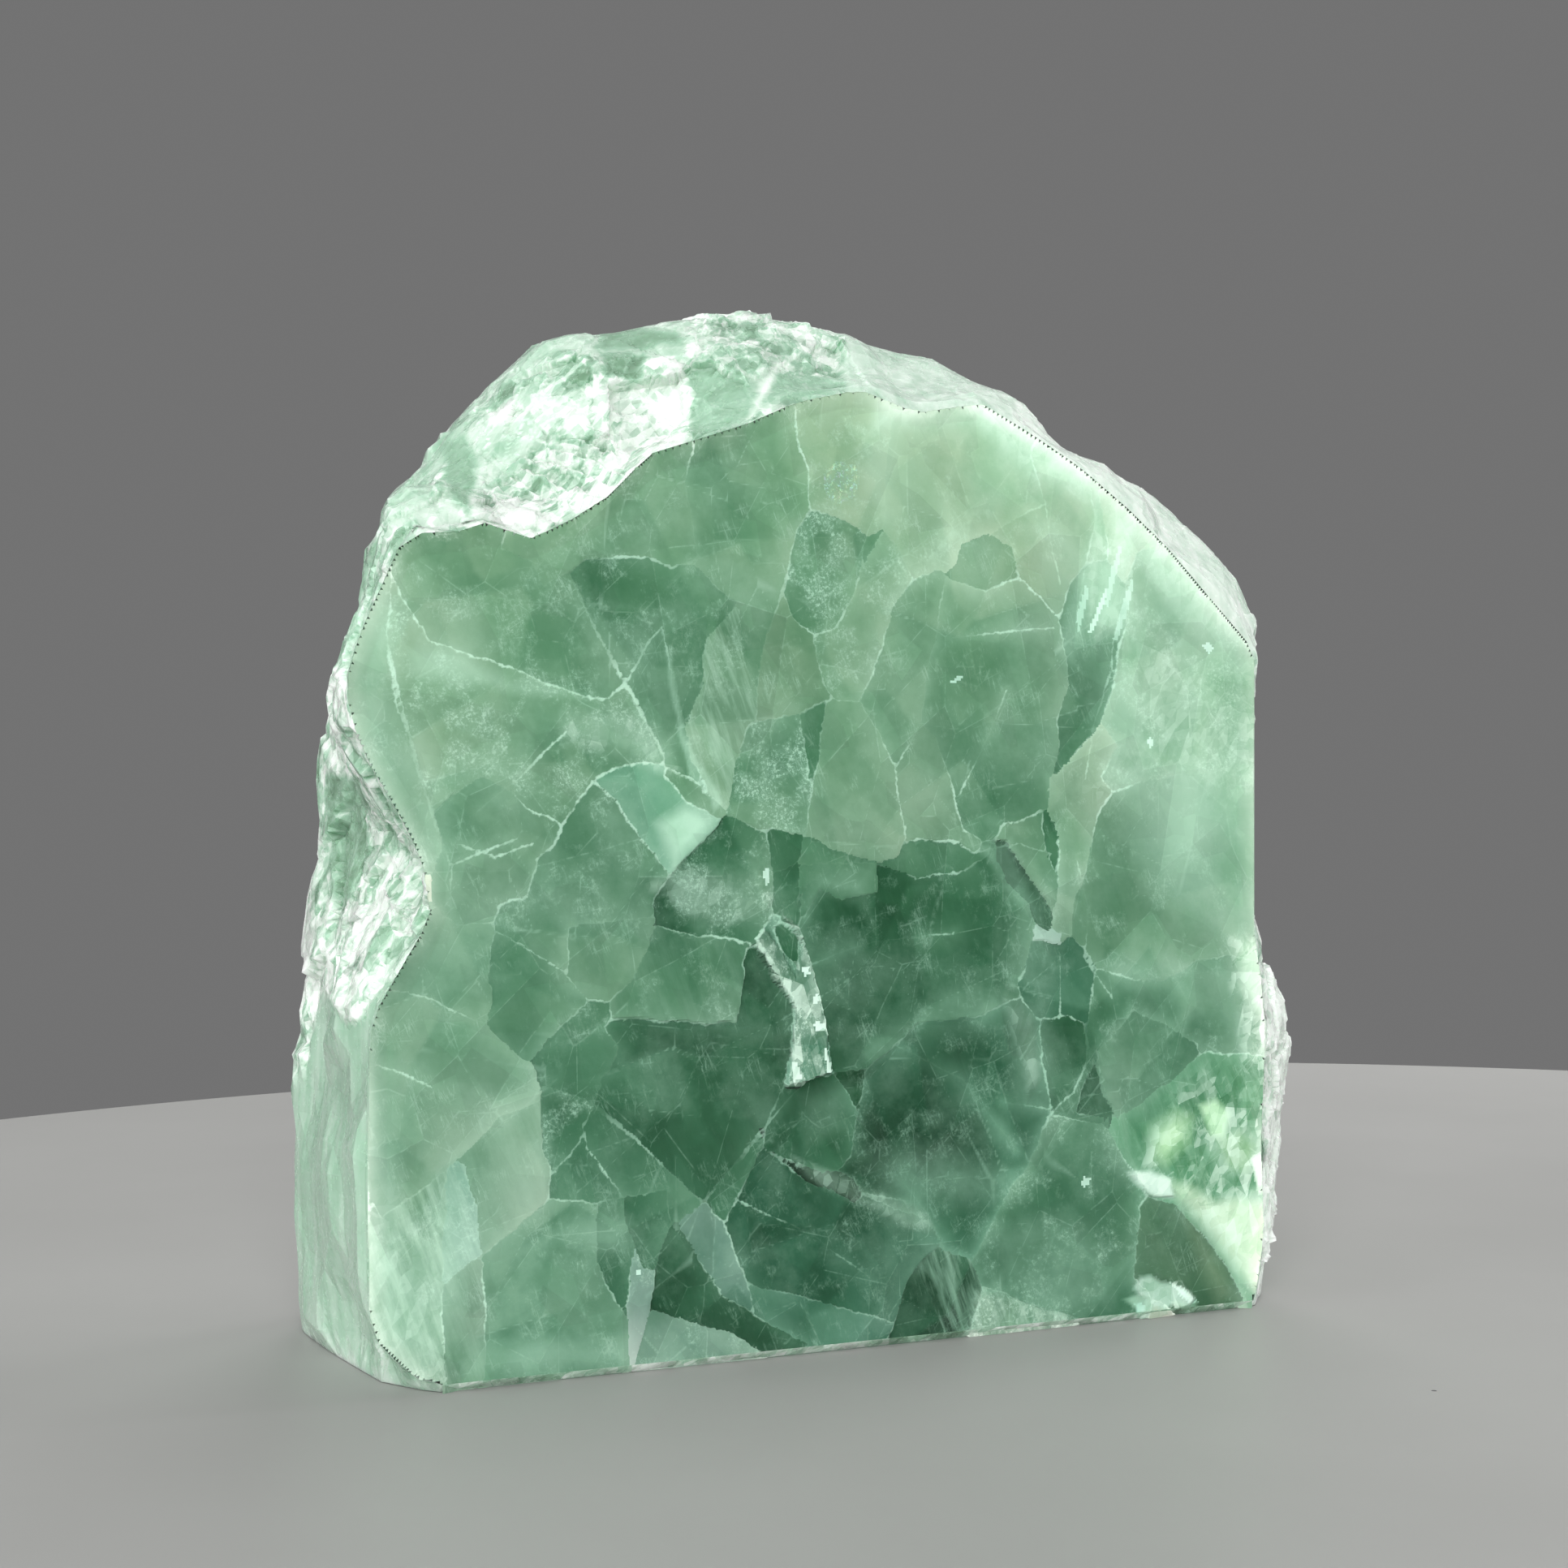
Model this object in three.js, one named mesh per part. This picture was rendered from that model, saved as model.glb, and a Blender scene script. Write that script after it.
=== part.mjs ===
// Fluorite freeform: one lump of green fluorite with a sawn and polished front, a sawn flat foot
// and a natural broken skin over the sides, the crown and the back.
//
// Frame: millimetres, +Z up, the polished front looks along -Y, the origin is under the middle
// of the stone's box. Every outline below is written as [across, up, deep]: across runs from the
// lower left corner of the polished front towards the right, deep runs back from that front.

import * as THREE from 'three';

// ---------------------------------------------------------------- driving dimensions (mm)

const FACE_WIDTH = 91.7; // polished front, measured along its foot
const CROWN_HEIGHT = 106.4; // foot to the top of the crown
const FOOT_DEPTH = 40; // sawn foot, front to back
const STONE_DEPTH = 45; // front to the fullest point of the back
const EDGE_BEVEL = 0.9; // ground edge between the front and the foot
const CROWN_DEPTH = 16; // the crown's ridge lies this far behind the front
const LEFT_SIDE_DEPTH = 31; // the left side runs this far back before it turns
const RIGHT_SIDE_DEPTH = 8; // the right side is fullest this far behind the front

// Border of the polished front, from the lower left corner up and over to the lower right one.
// The stretches that wander are where the broken skin bites into the polish.
const FRONT_BORDER = [
  [0, 0, 0], [-3.6, 2.6, 0], [-6.9, 6.2, 0], [-7.2, 20, 0], [-6.9, 35.5, 0], [-3.6, 41, 0],
  [-1.1, 45, 0], [-1.9, 50.4, 0], [-4.3, 55, 0], [-7.1, 59.6, 0], [-9, 64.1, 0], [-9, 68.6, 0],
  [-7.4, 72.8, 0], [-5.1, 77.8, 0], [-3.6, 81.1, 0], [1.2, 81.3, 0], [5.2, 82.7, 0],
  [8.5, 80.9, 0], [12.6, 82.8, 0], [16.7, 85.4, 0], [21, 89.7, 0], [25.2, 91.1, 0],
  [31.2, 93.1, 0], [36.7, 95.6, 0], [43.9, 97.3, 0], [50.4, 95.3, 0], [58, 96.7, 0],
  [63.8, 93.9, 0], [69.7, 90.7, 0], [75.7, 86.5, 0], [80.8, 82.4, 0], [85.9, 77.4, 0],
  [FACE_WIDTH, 71.8, 0], [FACE_WIDTH, 55, 0], [FACE_WIDTH, 41, 0], [92.6, 36, 0],
  [93.2, 30, 0], [92.6, 18, 0], [93, 8, 0], [FACE_WIDTH, 0, 0],
];

// A line just behind the front, followed round in the same way. It steps back under the glassy
// recess at the upper left, and swells at the lower left corner and the lower right.
const SHOULDER = [
  [-3.9, 0, 7], [-7, 8, 7], [-7.6, 20, 7], [-7.2, 33, 7], [-5, 40, 7], [-3.4, 45, 7],
  [-3.4, 50, 7], [-5, 55, 7], [-7, 60, 7], [-8.6, 65, 7], [-8.2, 70, 7], [-6.5, 75, 7],
  [-4.5, 80, 6.5], [-2.5, 84, 6], [1.5, 86, 6], [6, 87.5, 6], [11, 87.8, 6], [16, 89, 6],
  [20, 92, 6], [25, 95, 5.5], [31, 98, 5], [37, 100.6, 5], [44, 101.5, 5], [51, 100.5, 5],
  [58, 99, 5], [63, 96.8, 5], [67.5, 94, 5], [73.5, 91, 5], [79.5, 87.5, 5], [86.4, 82.5, 4.5],
  [92, 77.5, 4], [95, 73.2, 4], [93.2, 69, 4], [93.2, 55, 4], [93.4, 43, 4], [95.5, 37, 4],
  [98.6, 31, 4], [97.8, 18, 4], [97.4, 8, 4], [95, 0, 4],
];

// The stone's fullest line.
const RIDGE = [
  [-5.4, 0, LEFT_SIDE_DEPTH], [-6.7, 12, LEFT_SIDE_DEPTH], [-6.5, 20.6, LEFT_SIDE_DEPTH],
  [-5.8, 30.7, LEFT_SIDE_DEPTH], [-4.7, 39, LEFT_SIDE_DEPTH], [-4.2, 48, LEFT_SIDE_DEPTH],
  [-3.7, 53, LEFT_SIDE_DEPTH], [-3.4, 61, 29], [-3.1, 66, 28], [-1.4, 71, 26], [-0.3, 77.8, 24],
  [0, 81, 22], [1.2, 86, 20], [5.6, 92.5, 18], [11.3, 99, CROWN_DEPTH],
  [16.1, 102.8, CROWN_DEPTH], [29, 105.3, CROWN_DEPTH], [36.5, CROWN_HEIGHT, CROWN_DEPTH],
  [44, 106.2, CROWN_DEPTH], [51.8, 105.1, CROWN_DEPTH], [59.8, 103.7, 15], [67.4, 100.5, 14],
  [71.9, 97.4, 14], [72.9, 95, 14], [79.8, 92, 13], [86.9, 88.6, 12], [93, 83.3, 11],
  [96.4, 77.8, 10], [98.4, 74, 9], [95.4, 71, RIGHT_SIDE_DEPTH], [95, 60, RIGHT_SIDE_DEPTH],
  [95.2, 45, RIGHT_SIDE_DEPTH], [97.4, 38, RIGHT_SIDE_DEPTH], [101, 32, RIGHT_SIDE_DEPTH],
  [100.3, 20, RIGHT_SIDE_DEPTH], [100, 9, RIGHT_SIDE_DEPTH], [97.5, 0, RIGHT_SIDE_DEPTH],
];

// Where the sides have turned into the back.
const BACK_EDGE = [
  [4, 0, FOOT_DEPTH], [1.5, 14, FOOT_DEPTH], [2, 30, 39.5], [3.5, 46, 38], [6, 62, 36],
  [10, 76, 34], [19, 88, 32], [30, 94.5, 31], [44, 96, 31], [58, 93, 31], [70, 87, 31],
  [81, 77, 32], [87, 64, 33], [90, 46, 35], [93, 26, 37], [92, 12, 38], [89, 0, 38],
];

// Broken places: [across, up, deep, radius, how deep the hollow goes].
const HOLLOWS = [
  [10, 90, 5, 11, 2.6], // glassy recess, upper left
  [24, 95, 5, 10, 2.2],
  [-4, 52, 9, 12, 2.4], // sparkling scoop on the left side
  [-6, 30, 24, 13, 1.4],
  [62, 102, 12, 15, 2.4], // flat on the crown, towards the right
  [73, 95, 10, 7, 2], // nick in the right shoulder
  [81, 92, 10, 9, 1.6],
  [97, 58, 10, 12, 1.8], // right side, over the bulge
  [60, 60, 46, 20, 3.2], // the back
  [25, 30, 46, 18, 2.6],
  [78, 22, 44, 13, 2.4],
  [22, 78, 40, 15, 2.6],
];

// ---------------------------------------------------------------- mesh and texture of the break

const UPPER_STATIONS = 110; // points of a ring from the lower left over the top
const FOOT_STATIONS = 34; // points of a ring along the foot
const LIP_RINGS = 3; // rings from the front's border to the shoulder
const SIDE_RINGS = 8; // rings from there to the fullest line
const TURN_RINGS = 8; // rings from there to the back edge
const FRONT_STRIDES = [8, 4, 2, 1]; // stations skipped by each ring inside the polished front
const BACK_STRIDES = [1, 1, 1, 2, 2, 2, 2, 4, 4, 4, 8, 8]; // and by each ring inside the back
const CHIP_SIZES = [17, 8]; // size of the broken faces that make up the skin
const CHIP_RELIEF = [2.4, 1.4]; // how far each size of face stands out or in
const CHIP_LEVEL = 0.55; // relief of the average face, so that the skin stays where it was drawn
const CHIP_SLOPE = 0.1; // how far a face leans out of the skin
const CHIP_CROWN = 1.5; // how strongly a face curves towards its own edges
const SKIN_FADE = 3.5; // the break reaches its full relief this far from polish and foot
const RIDGE_RELIEF = 0.4; // share of the relief that is left on the worn, fullest line

const MIDDLE = new THREE.Vector3(45, 21, 44); // inside the stone: across, deep, up
const FRONT_MIDDLE = new THREE.Vector3(44, 0, 46);
const BACK_MIDDLE = new THREE.Vector3(47, STONE_DEPTH, 45);

// ---------------------------------------------------------------- outlines

const asVector = ([across, up, deep]) => new THREE.Vector3(across, deep, up);
const bearing = (point) => Math.atan2(point.x - MIDDLE.x, point.z - MIDDLE.z);

// A ring is the outline's upper line, sampled at even steps of the bearing from the middle,
// and then the straight foot from right to left.
function ringFrom(outline) {
  const points = outline.map(asVector);
  const bearings = points.map(bearing);
  const first = bearings[0];
  const last = bearings[bearings.length - 1];
  const ring = [];
  let segment = 0;
  for (let station = 0; station <= UPPER_STATIONS; station += 1) {
    const wanted = first + ((last - first) * station) / UPPER_STATIONS;
    while (segment < points.length - 2 && bearings[segment + 1] < wanted) segment += 1;
    const span = bearings[segment + 1] - bearings[segment];
    const share = (wanted - bearings[segment]) / span;
    ring.push(points[segment].clone().lerp(points[segment + 1], share));
  }
  const left = ring[0];
  const right = ring[UPPER_STATIONS];
  for (let station = 1; station < FOOT_STATIONS; station += 1) {
    ring.push(right.clone().lerp(left, station / FOOT_STATIONS));
  }
  return ring;
}

// Blends two rings: outward and back movement each have their own pace.
function blendRings(from, to, outward, backward) {
  return from.map((point, index) => {
    const target = to[index];
    return new THREE.Vector3(
      point.x + (target.x - point.x) * outward,
      point.y + (target.y - point.y) * backward,
      point.z + (target.z - point.z) * outward,
    );
  });
}

// ---------------------------------------------------------------- the broken skin

// A repeatable number from 0 to 1 for a cell of the chip lattice.
function scatter(a, b, c, salt) {
  const value = Math.sin(a * 127.1 + b * 311.7 + c * 74.7 + salt * 53.3) * 43758.5453;
  return value - Math.floor(value);
}

// Relief, mostly from 0 to 1, of a skin made of overlapping broken faces: each cell of the
// lattice holds one leaning, slightly crowned face, and the highest of them is what shows.
function brokenFaces(point, size, salt) {
  const cell = point.clone().divideScalar(size).floor();
  let highest = -Infinity;
  for (let i = -1; i <= 1; i += 1) {
    for (let j = -1; j <= 1; j += 1) {
      for (let k = -1; k <= 1; k += 1) {
        const [a, b, c] = [cell.x + i, cell.y + j, cell.z + k];
        const seed = new THREE.Vector3(
          a + scatter(a, b, c, salt),
          b + scatter(a, b, c, salt + 1),
          c + scatter(a, b, c, salt + 2),
        );
        const away = point.clone().divideScalar(size).sub(seed);
        const lean = new THREE.Vector3(
          scatter(a, b, c, salt + 3) - 0.5,
          scatter(a, b, c, salt + 4) - 0.5,
          scatter(a, b, c, salt + 5) - 0.5,
        );
        const face = lean.dot(away) * size * CHIP_SLOPE - CHIP_CROWN * away.lengthSq();
        highest = Math.max(highest, face + scatter(a, b, c, salt + 6));
      }
    }
  }
  return highest;
}

// How far a skin point moves out from the middle of the stone: chips, less the hollows.
function skinRelief(point) {
  let relief = 0;
  CHIP_SIZES.forEach((size, index) => {
    const facing = index === 0 ? 1 : -1; // large faces stand out, small ones are hollow
    const height = brokenFaces(point, size, 17 * (index + 1)) - CHIP_LEVEL;
    relief += facing * height * CHIP_RELIEF[index];
  });
  HOLLOWS.forEach(([across, up, deep, radius, depth]) => {
    const reach = point.distanceTo(new THREE.Vector3(across, deep, up)) / radius;
    if (reach < 1) relief -= depth * (1 - reach * reach) ** 2;
  });
  return relief;
}

// Moves one skin point along the line from the middle, softly near the polish and the foot.
function weather(point, strength) {
  const fromFront = THREE.MathUtils.smoothstep(point.y, 0, SKIN_FADE);
  const fromFoot = THREE.MathUtils.smoothstep(point.z, 0, SKIN_FADE);
  const outward = point.clone().sub(MIDDLE).normalize();
  outward.multiplyScalar(skinRelief(point) * fromFront * fromFoot * strength);
  const moved = point.clone().add(outward);
  moved.z = Math.max(moved.z, 0);
  return moved;
}

// ---------------------------------------------------------------- rings from front to back

function stoneRings() {
  const border = ringFrom(FRONT_BORDER);
  const shoulder = ringFrom(SHOULDER);
  const ridge = ringFrom(RIDGE);
  const backEdge = ringFrom(BACK_EDGE);
  const quarter = Math.PI / 2;

  // The border stands at the top of the ground edge along the foot.
  const polished = border.map((point) => {
    const up = Math.max(point.z, EDGE_BEVEL);
    return new THREE.Vector3(point.x, 0, up);
  });
  const rings = FRONT_STRIDES.map((stride, index) => {
    const share = (index + 1) / FRONT_STRIDES.length;
    return { stride, points: polished.map((point) => FRONT_MIDDLE.clone().lerp(point, share)) };
  });
  // The foot's front edge, behind the ground bevel.
  const footEdge = border.map((point) => new THREE.Vector3(point.x, EDGE_BEVEL, point.z));
  rings.push({ stride: 1, points: footEdge });
  const addRing = (points, strength, stride = 1) => {
    rings.push({ stride, points: points.map((point) => weather(point, strength)) });
  };
  for (let step = 1; step <= LIP_RINGS; step += 1) {
    const share = step / LIP_RINGS;
    addRing(blendRings(border, shoulder, share, share), 1);
  }
  for (let step = 1; step <= SIDE_RINGS; step += 1) {
    const share = step / SIDE_RINGS;
    const strength = THREE.MathUtils.lerp(1, RIDGE_RELIEF, share);
    addRing(blendRings(shoulder, ridge, Math.sin(share * quarter), share), strength);
  }
  for (let step = 1; step <= TURN_RINGS; step += 1) {
    const share = step / TURN_RINGS;
    const turn = share * quarter;
    const strength = THREE.MathUtils.lerp(RIDGE_RELIEF, 1, share);
    addRing(blendRings(ridge, backEdge, 1 - Math.cos(turn), Math.sin(turn)), strength);
  }
  BACK_STRIDES.forEach((stride, index) => {
    const share = (index + 1) / (BACK_STRIDES.length + 1);
    const target = backEdge.map(() => BACK_MIDDLE);
    addRing(blendRings(backEdge, target, share, Math.sin(share * quarter)), 1, stride);
  });
  return rings;
}

// Skins the rings with triangles and closes both ends with a fan. A ring with a stride uses
// only every so many of its stations, so the triangles stay near one size.
function stoneGeometry() {
  const rings = stoneRings();
  const count = UPPER_STATIONS + FOOT_STATIONS;
  const points = [FRONT_MIDDLE, ...rings.flatMap((ring) => ring.points), weather(BACK_MIDDLE, 1)];
  const backIndex = points.length - 1;
  const at = (ring, station) => {
    const { stride } = rings[ring];
    const used = Math.round(station / stride) * stride;
    return 1 + ring * count + (used % count);
  };
  const triangles = [];
  const addTriangle = (a, b, c) => {
    if (a !== b && b !== c && c !== a) triangles.push(a, b, c);
  };
  const lastRing = rings.length - 1;
  for (let station = 0; station < count; station += 1) {
    addTriangle(0, at(0, station + 1), at(0, station));
    for (let ring = 0; ring < lastRing; ring += 1) {
      const a = at(ring, station);
      const b = at(ring, station + 1);
      const c = at(ring + 1, station + 1);
      const d = at(ring + 1, station);
      if (points[a].distanceTo(points[c]) <= points[b].distanceTo(points[d])) {
        addTriangle(a, c, d);
        addTriangle(a, b, c);
      } else {
        addTriangle(a, b, d);
        addTriangle(b, c, d);
      }
    }
    addTriangle(backIndex, at(lastRing, station), at(lastRing, station + 1));
  }
  const geometry = new THREE.BufferGeometry();
  geometry.setAttribute(
    'position',
    new THREE.Float32BufferAttribute(points.flatMap((point) => point.toArray()), 3),
  );
  geometry.setIndex(triangles);
  return geometry;
}

// Puts the origin under the middle of the stone's box.
function centreOnFoot(geometry) {
  geometry.computeBoundingBox();
  const { min, max } = geometry.boundingBox;
  geometry.translate(-(min.x + max.x) / 2, -(min.y + max.y) / 2, -min.z);
  geometry.computeVertexNormals();
  return geometry;
}

// ---------------------------------------------------------------- the part

const greenFluorite = new THREE.MeshStandardMaterial({
  color: 0x84ab8f,
  roughness: 0.25,
  metalness: 0,
  flatShading: true,
});

const stone = new THREE.Mesh(centreOnFoot(stoneGeometry()), greenFluorite);
stone.name = 'fluorite_stone';

const group = new THREE.Group();
group.add(stone);

export default group;
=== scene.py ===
# %% [markdown]
# # A fluorite freeform
# The stone is one lump of green fluorite. Its front is sawn flat and polished, so the eye looks
# into clear crystal through a window. Its foot is sawn flat too. The sides, the crown and the back
# are left as the rock broke: white, frosty and full of small cleavage steps.
#
# The stone could be painted as one picture on a plain block, but a picture has no depth: it would
# not shift as the eye moves. Here it is built as it grew: a clear skin with the right bending of
# light, absorption that turns depth into green, and the cracks sealed inside as real surfaces.
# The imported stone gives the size, and everything below is worked out around it.

from itertools import product

import bpy
import numpy as np
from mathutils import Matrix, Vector


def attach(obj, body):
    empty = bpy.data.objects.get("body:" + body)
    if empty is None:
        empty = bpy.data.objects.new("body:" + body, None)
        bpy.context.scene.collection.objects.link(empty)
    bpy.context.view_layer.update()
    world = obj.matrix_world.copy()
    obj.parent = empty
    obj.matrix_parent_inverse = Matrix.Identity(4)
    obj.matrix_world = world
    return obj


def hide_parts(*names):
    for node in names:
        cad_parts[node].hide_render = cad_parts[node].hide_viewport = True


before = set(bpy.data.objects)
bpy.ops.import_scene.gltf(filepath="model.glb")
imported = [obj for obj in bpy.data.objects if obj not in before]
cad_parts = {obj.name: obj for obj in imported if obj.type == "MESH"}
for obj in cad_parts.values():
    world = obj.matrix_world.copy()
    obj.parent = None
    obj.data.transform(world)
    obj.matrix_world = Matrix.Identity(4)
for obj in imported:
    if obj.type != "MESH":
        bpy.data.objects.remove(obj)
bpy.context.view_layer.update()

# %% [markdown]
# ## Where the eye stands
# Every outline on the polished front was read off as the eye sees it, in frame units: 1932 of
# them cross the view. To put an outline on the stone, each point becomes a line of sight, and the
# line meets the polished plane in one place. Measuring on the stone with a ruler would need no eye
# point, but the view has to be matched anyway, so the same numbers serve the camera below.

# %% Lines of sight
MM = 0.001
FACE_Y = -22.459  # the polished plane, mm
EYE = np.array([-118.53, -258.73, 60.33])  # mm
EYE_TURN = np.radians(24.527)  # to the right of straight ahead
FRAME_UNITS = 1932
LENS_UNITS = 3200  # frame units that one unit of distance spans at distance one
HORIZON_UNITS = 930  # down from the top of the frame


def on_face(units):
    """Across and up, in mm, where sight lines meet the polished plane. The line through a frame
    point is the eye plus t times (forward + k right - m up), with k and m the point's offsets
    from the middle and the horizon over the lens; t is the distance to the plane over the line's
    step towards it."""
    across, down = np.asarray(units, float).reshape(-1, 2).T
    k = (across - FRAME_UNITS / 2) / LENS_UNITS
    m = (down - HORIZON_UNITS) / LENS_UNITS
    t = (FACE_Y - EYE[1]) / (np.cos(EYE_TURN) - k * np.sin(EYE_TURN))
    x = EYE[0] + t * (np.sin(EYE_TURN) + k * np.cos(EYE_TURN))
    return np.stack([x, EYE[2] - m * t], axis=1)


def frame_points(words):
    """An outline typed as "across,down across,down ..." becomes points in frame units."""
    return np.array([[float(v) for v in pair.split(",")] for pair in words.split()])


def read_outline(words):
    """A typed outline becomes points on the face."""
    return on_face(frame_points(words))


print("lower left corner of the face, mm:", on_face([[545, 1718]]).round(1))

# %% [markdown]
# ## Chance that repeats
# A broken stone needs thousands of small accidents. A random generator would give them, but a
# number worked out from the place itself is better: the same place always gets the same accident,
# whatever mesh asks for it. Three tools come from it: soft clouds, hard facets and a fine scatter.

# %% Clouds and facets
def chance(cells, salt):
    """A number from 0 to 1 for each whole-number cell: multiply its coordinates by large odd
    numbers, mix the bits by shifting, and divide by the largest value."""
    mixed = np.full(cells.shape[:-1], salt * 7919 + 17, np.uint32)
    for i, odd in enumerate((2246822519, 3266489917, 668265263)[: cells.shape[-1]]):
        mixed = (mixed ^ cells[..., i].astype(np.int64).astype(np.uint32)) * np.uint32(odd)
        mixed ^= mixed >> np.uint32(15)
    mixed = mixed * np.uint32(2654435761)
    mixed ^= mixed >> np.uint32(13)
    return mixed / 4294967295.0


def clouds(points, size, salt, octaves=3):
    """Soft noise from -1 to 1: chance at the corners of a grid, blended between them by
    3t^2 - 2t^3, with finer and weaker layers added, each half the size and half the strength."""
    total, strength = 0.0, 0.0
    for layer in range(octaves):
        place = points / size * 2**layer + 31.7 * layer
        cell = np.floor(place)
        t = place - cell
        t = t * t * (3 - 2 * t)
        value = 0.0
        for corner in product((0, 1), repeat=points.shape[-1]):
            near = np.prod(np.where(corner, t, 1 - t), axis=-1)
            value = value + near * chance(cell + corner, salt + layer)
        total = total + (2 * value - 1) / 2**layer
        strength += 1 / 2**layer
    return total / strength


def facets(points, size, relief, salt):
    """Flat chips with small cliffs between them, as cleavage leaves. One seed sits in each cell
    with its own height and slope, a point takes height + slope . (p - seed) of its nearest seed,
    and relief is about the most that this gives. Beside it come how much further away the second
    nearest seed is, which is nothing at a cliff, and a number from 0 to 1 for the chip."""
    cell = np.floor(points / size)
    first = np.full(points.shape[:-1], 1e9)
    second, value, own = first.copy(), first.copy(), first.copy()
    width = points.shape[-1]
    for step in product((-1, 0, 1), repeat=width):
        there = cell + step
        seed = np.stack([chance(there, salt + 11 * i) for i in range(width)], axis=-1)
        slope = np.stack([chance(there, salt + 5 + 13 * i) for i in range(width)], axis=-1)
        away = points - (there + 0.1 + 0.8 * seed) * size
        apart = np.sqrt((away**2).sum(axis=-1))
        closer = apart < first
        second = np.where(closer, first, np.minimum(second, apart))
        first = np.where(closer, apart, first)
        height = chance(there, salt + 3) - 0.5 + (1.6 * (slope - 0.5) * away / size).sum(axis=-1)
        value = np.where(closer, relief * height, value)
        own = np.where(closer, chance(there, salt + 7), own)
    return value, second - first, own


probe = np.stack(np.meshgrid(np.arange(40.0), np.arange(40.0), indexing="ij"), axis=-1)
print("clouds run", clouds(probe, 7, 1).min().round(2), "to", clouds(probe, 7, 1).max().round(2))
heights = facets(probe, 5, 1, 1)[0]
print("facets run", heights.min().round(2), "to", heights.max().round(2))


# %% [markdown]
# ## Pieces from arrays
# Every piece here starts as an array of points and an array of faces. The same few lines turn them
# into a Blender mesh, give it a finish and let it ride on the stone's only body.

# %% A piece from points and faces
def new_piece(name, points_mm, faces, material):
    """Makes a mesh object from points in mm and an array of faces, riding on the stone's body."""
    mesh = bpy.data.meshes.new(name)
    mesh.from_pydata((points_mm * MM).tolist(), [], faces.tolist())
    mesh.polygons.foreach_set("use_smooth", np.zeros(len(mesh.polygons), bool))
    mesh.update()
    piece = bpy.data.objects.new(name, mesh)
    bpy.context.scene.collection.objects.link(piece)
    mesh.materials.append(material)
    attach(piece, "root")
    print(name, "has", len(mesh.vertices), "points and", len(mesh.polygons), "faces")
    return piece


def give_numbers(piece, name, values):
    """Stores one number a point on the mesh, for a material to read by name."""
    layer = piece.data.attributes.new(name, "FLOAT", "POINT")
    layer.data.foreach_set("value", np.ascontiguousarray(values, np.float32))

# %% [markdown]
# ## Finishes
# Two finishes make the stone. The skin is clear crystal: light bends into it, loses red first, and
# so turns green with depth. Where the skin is polished it is as smooth as glass, and where it is
# broken it is frosted and partly white, because each little step scatters light. The cracks inside
# are pale, dull films that stand close behind the polish.
#
# One green paint for the whole stone would be quicker to render. But every grain would then look
# equally deep, and the window would look like paper.
#
# Broken crystal has straight sides, so soft noise alone would look like marble. Most patterns here
# are shards instead: cells round scattered seeds, stretched and turned until they look like flakes.

# %% Node helpers
def add(tree, kind, inputs=None, **settings):
    """Adds a shader node, then sets or links its inputs by name or number."""
    made = tree.nodes.new("ShaderNode" + kind)
    for name, value in settings.items():
        setattr(made, name, value)
    for name, value in (inputs or {}).items():
        if isinstance(value, bpy.types.NodeSocket):
            tree.links.new(value, made.inputs[name])
        else:
            made.inputs[name].default_value = value
    return made


def arithmetic(tree, operation, a, b=0.5):
    """One step of arithmetic."""
    return add(tree, "Math", {0: a, 1: b}, operation=operation).outputs[0]


def plus(tree, first, *others):
    """Adds values, one after another."""
    for other in others:
        first = arithmetic(tree, "ADD", first, other)
    return first


def times(tree, first, *others):
    """Multiplies values, one after another."""
    for other in others:
        first = arithmetic(tree, "MULTIPLY", first, other)
    return first


def stretch(tree, value, low, high, to_low=0.0, to_high=1.0):
    """Moves a value from one span to another and stops it at the ends."""
    spans = {"Value": value, "From Min": low, "From Max": high, "To Min": to_low, "To Max": to_high}
    return add(tree, "MapRange", spans).outputs[0]


def blend(tree, share, first, second, how="MIX"):
    """Mixes two colours."""
    return add(tree, "Mix", {0: share, 6: first, 7: second}, data_type="RGBA", blend_type=how).outputs[2]


def stored(tree, name, output="Fac"):
    """A value kept on the mesh under a name."""
    return add(tree, "Attribute", attribute_name=name).outputs[output]


def grain(tree, place, size_mm, detail=4.0, rough=0.55, warp=0.0):
    """A noise whose features are about size_mm across."""
    inputs = {"Vector": place, "Scale": 1 / (size_mm * MM), "Detail": detail}
    inputs.update({"Roughness": rough, "Distortion": warp})
    return add(tree, "TexNoise", inputs).outputs["Fac"]


def shards(tree, place, size_mm, slant, pull_out=1.0, gives="own"):
    """Straight-sided cells about size_mm across, from the nearest of scattered seeds, turned by
    slant and pulled out one way. Gives each cell its own number, its own direction, or the
    distance to its edge."""
    size = size_mm * MM
    turned = add(tree, "Mapping", {
        "Vector": place, "Rotation": (0.2, slant, 0.1), "Scale": (size, size, size * pull_out),
    }, vector_type="TEXTURE").outputs[0]
    kind = "DISTANCE_TO_EDGE" if gives == "edge" else "F1"
    cells = add(tree, "TexVoronoi", {"Vector": turned, "Scale": 1.0}, feature=kind)
    if gives == "own":
        return add(tree, "SeparateColor", {0: cells.outputs["Color"]}).outputs[0]
    return cells.outputs["Distance" if gives == "edge" else "Color"]


def tilted(tree, facing, flakes, share):
    """Tips the facing of each flake its own way, by share: facing + share (own direction - half)."""
    off = add(tree, "VectorMath", {0: flakes, 1: (0.5, 0.5, 0.5)}, operation="SUBTRACT").outputs[0]
    off = add(tree, "VectorMath", {0: off, "Scale": share}, operation="SCALE").outputs[0]
    both = add(tree, "VectorMath", {0: facing, 1: off}, operation="ADD").outputs[0]
    return add(tree, "VectorMath", {0: both}, operation="NORMALIZE").outputs[0]


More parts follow.
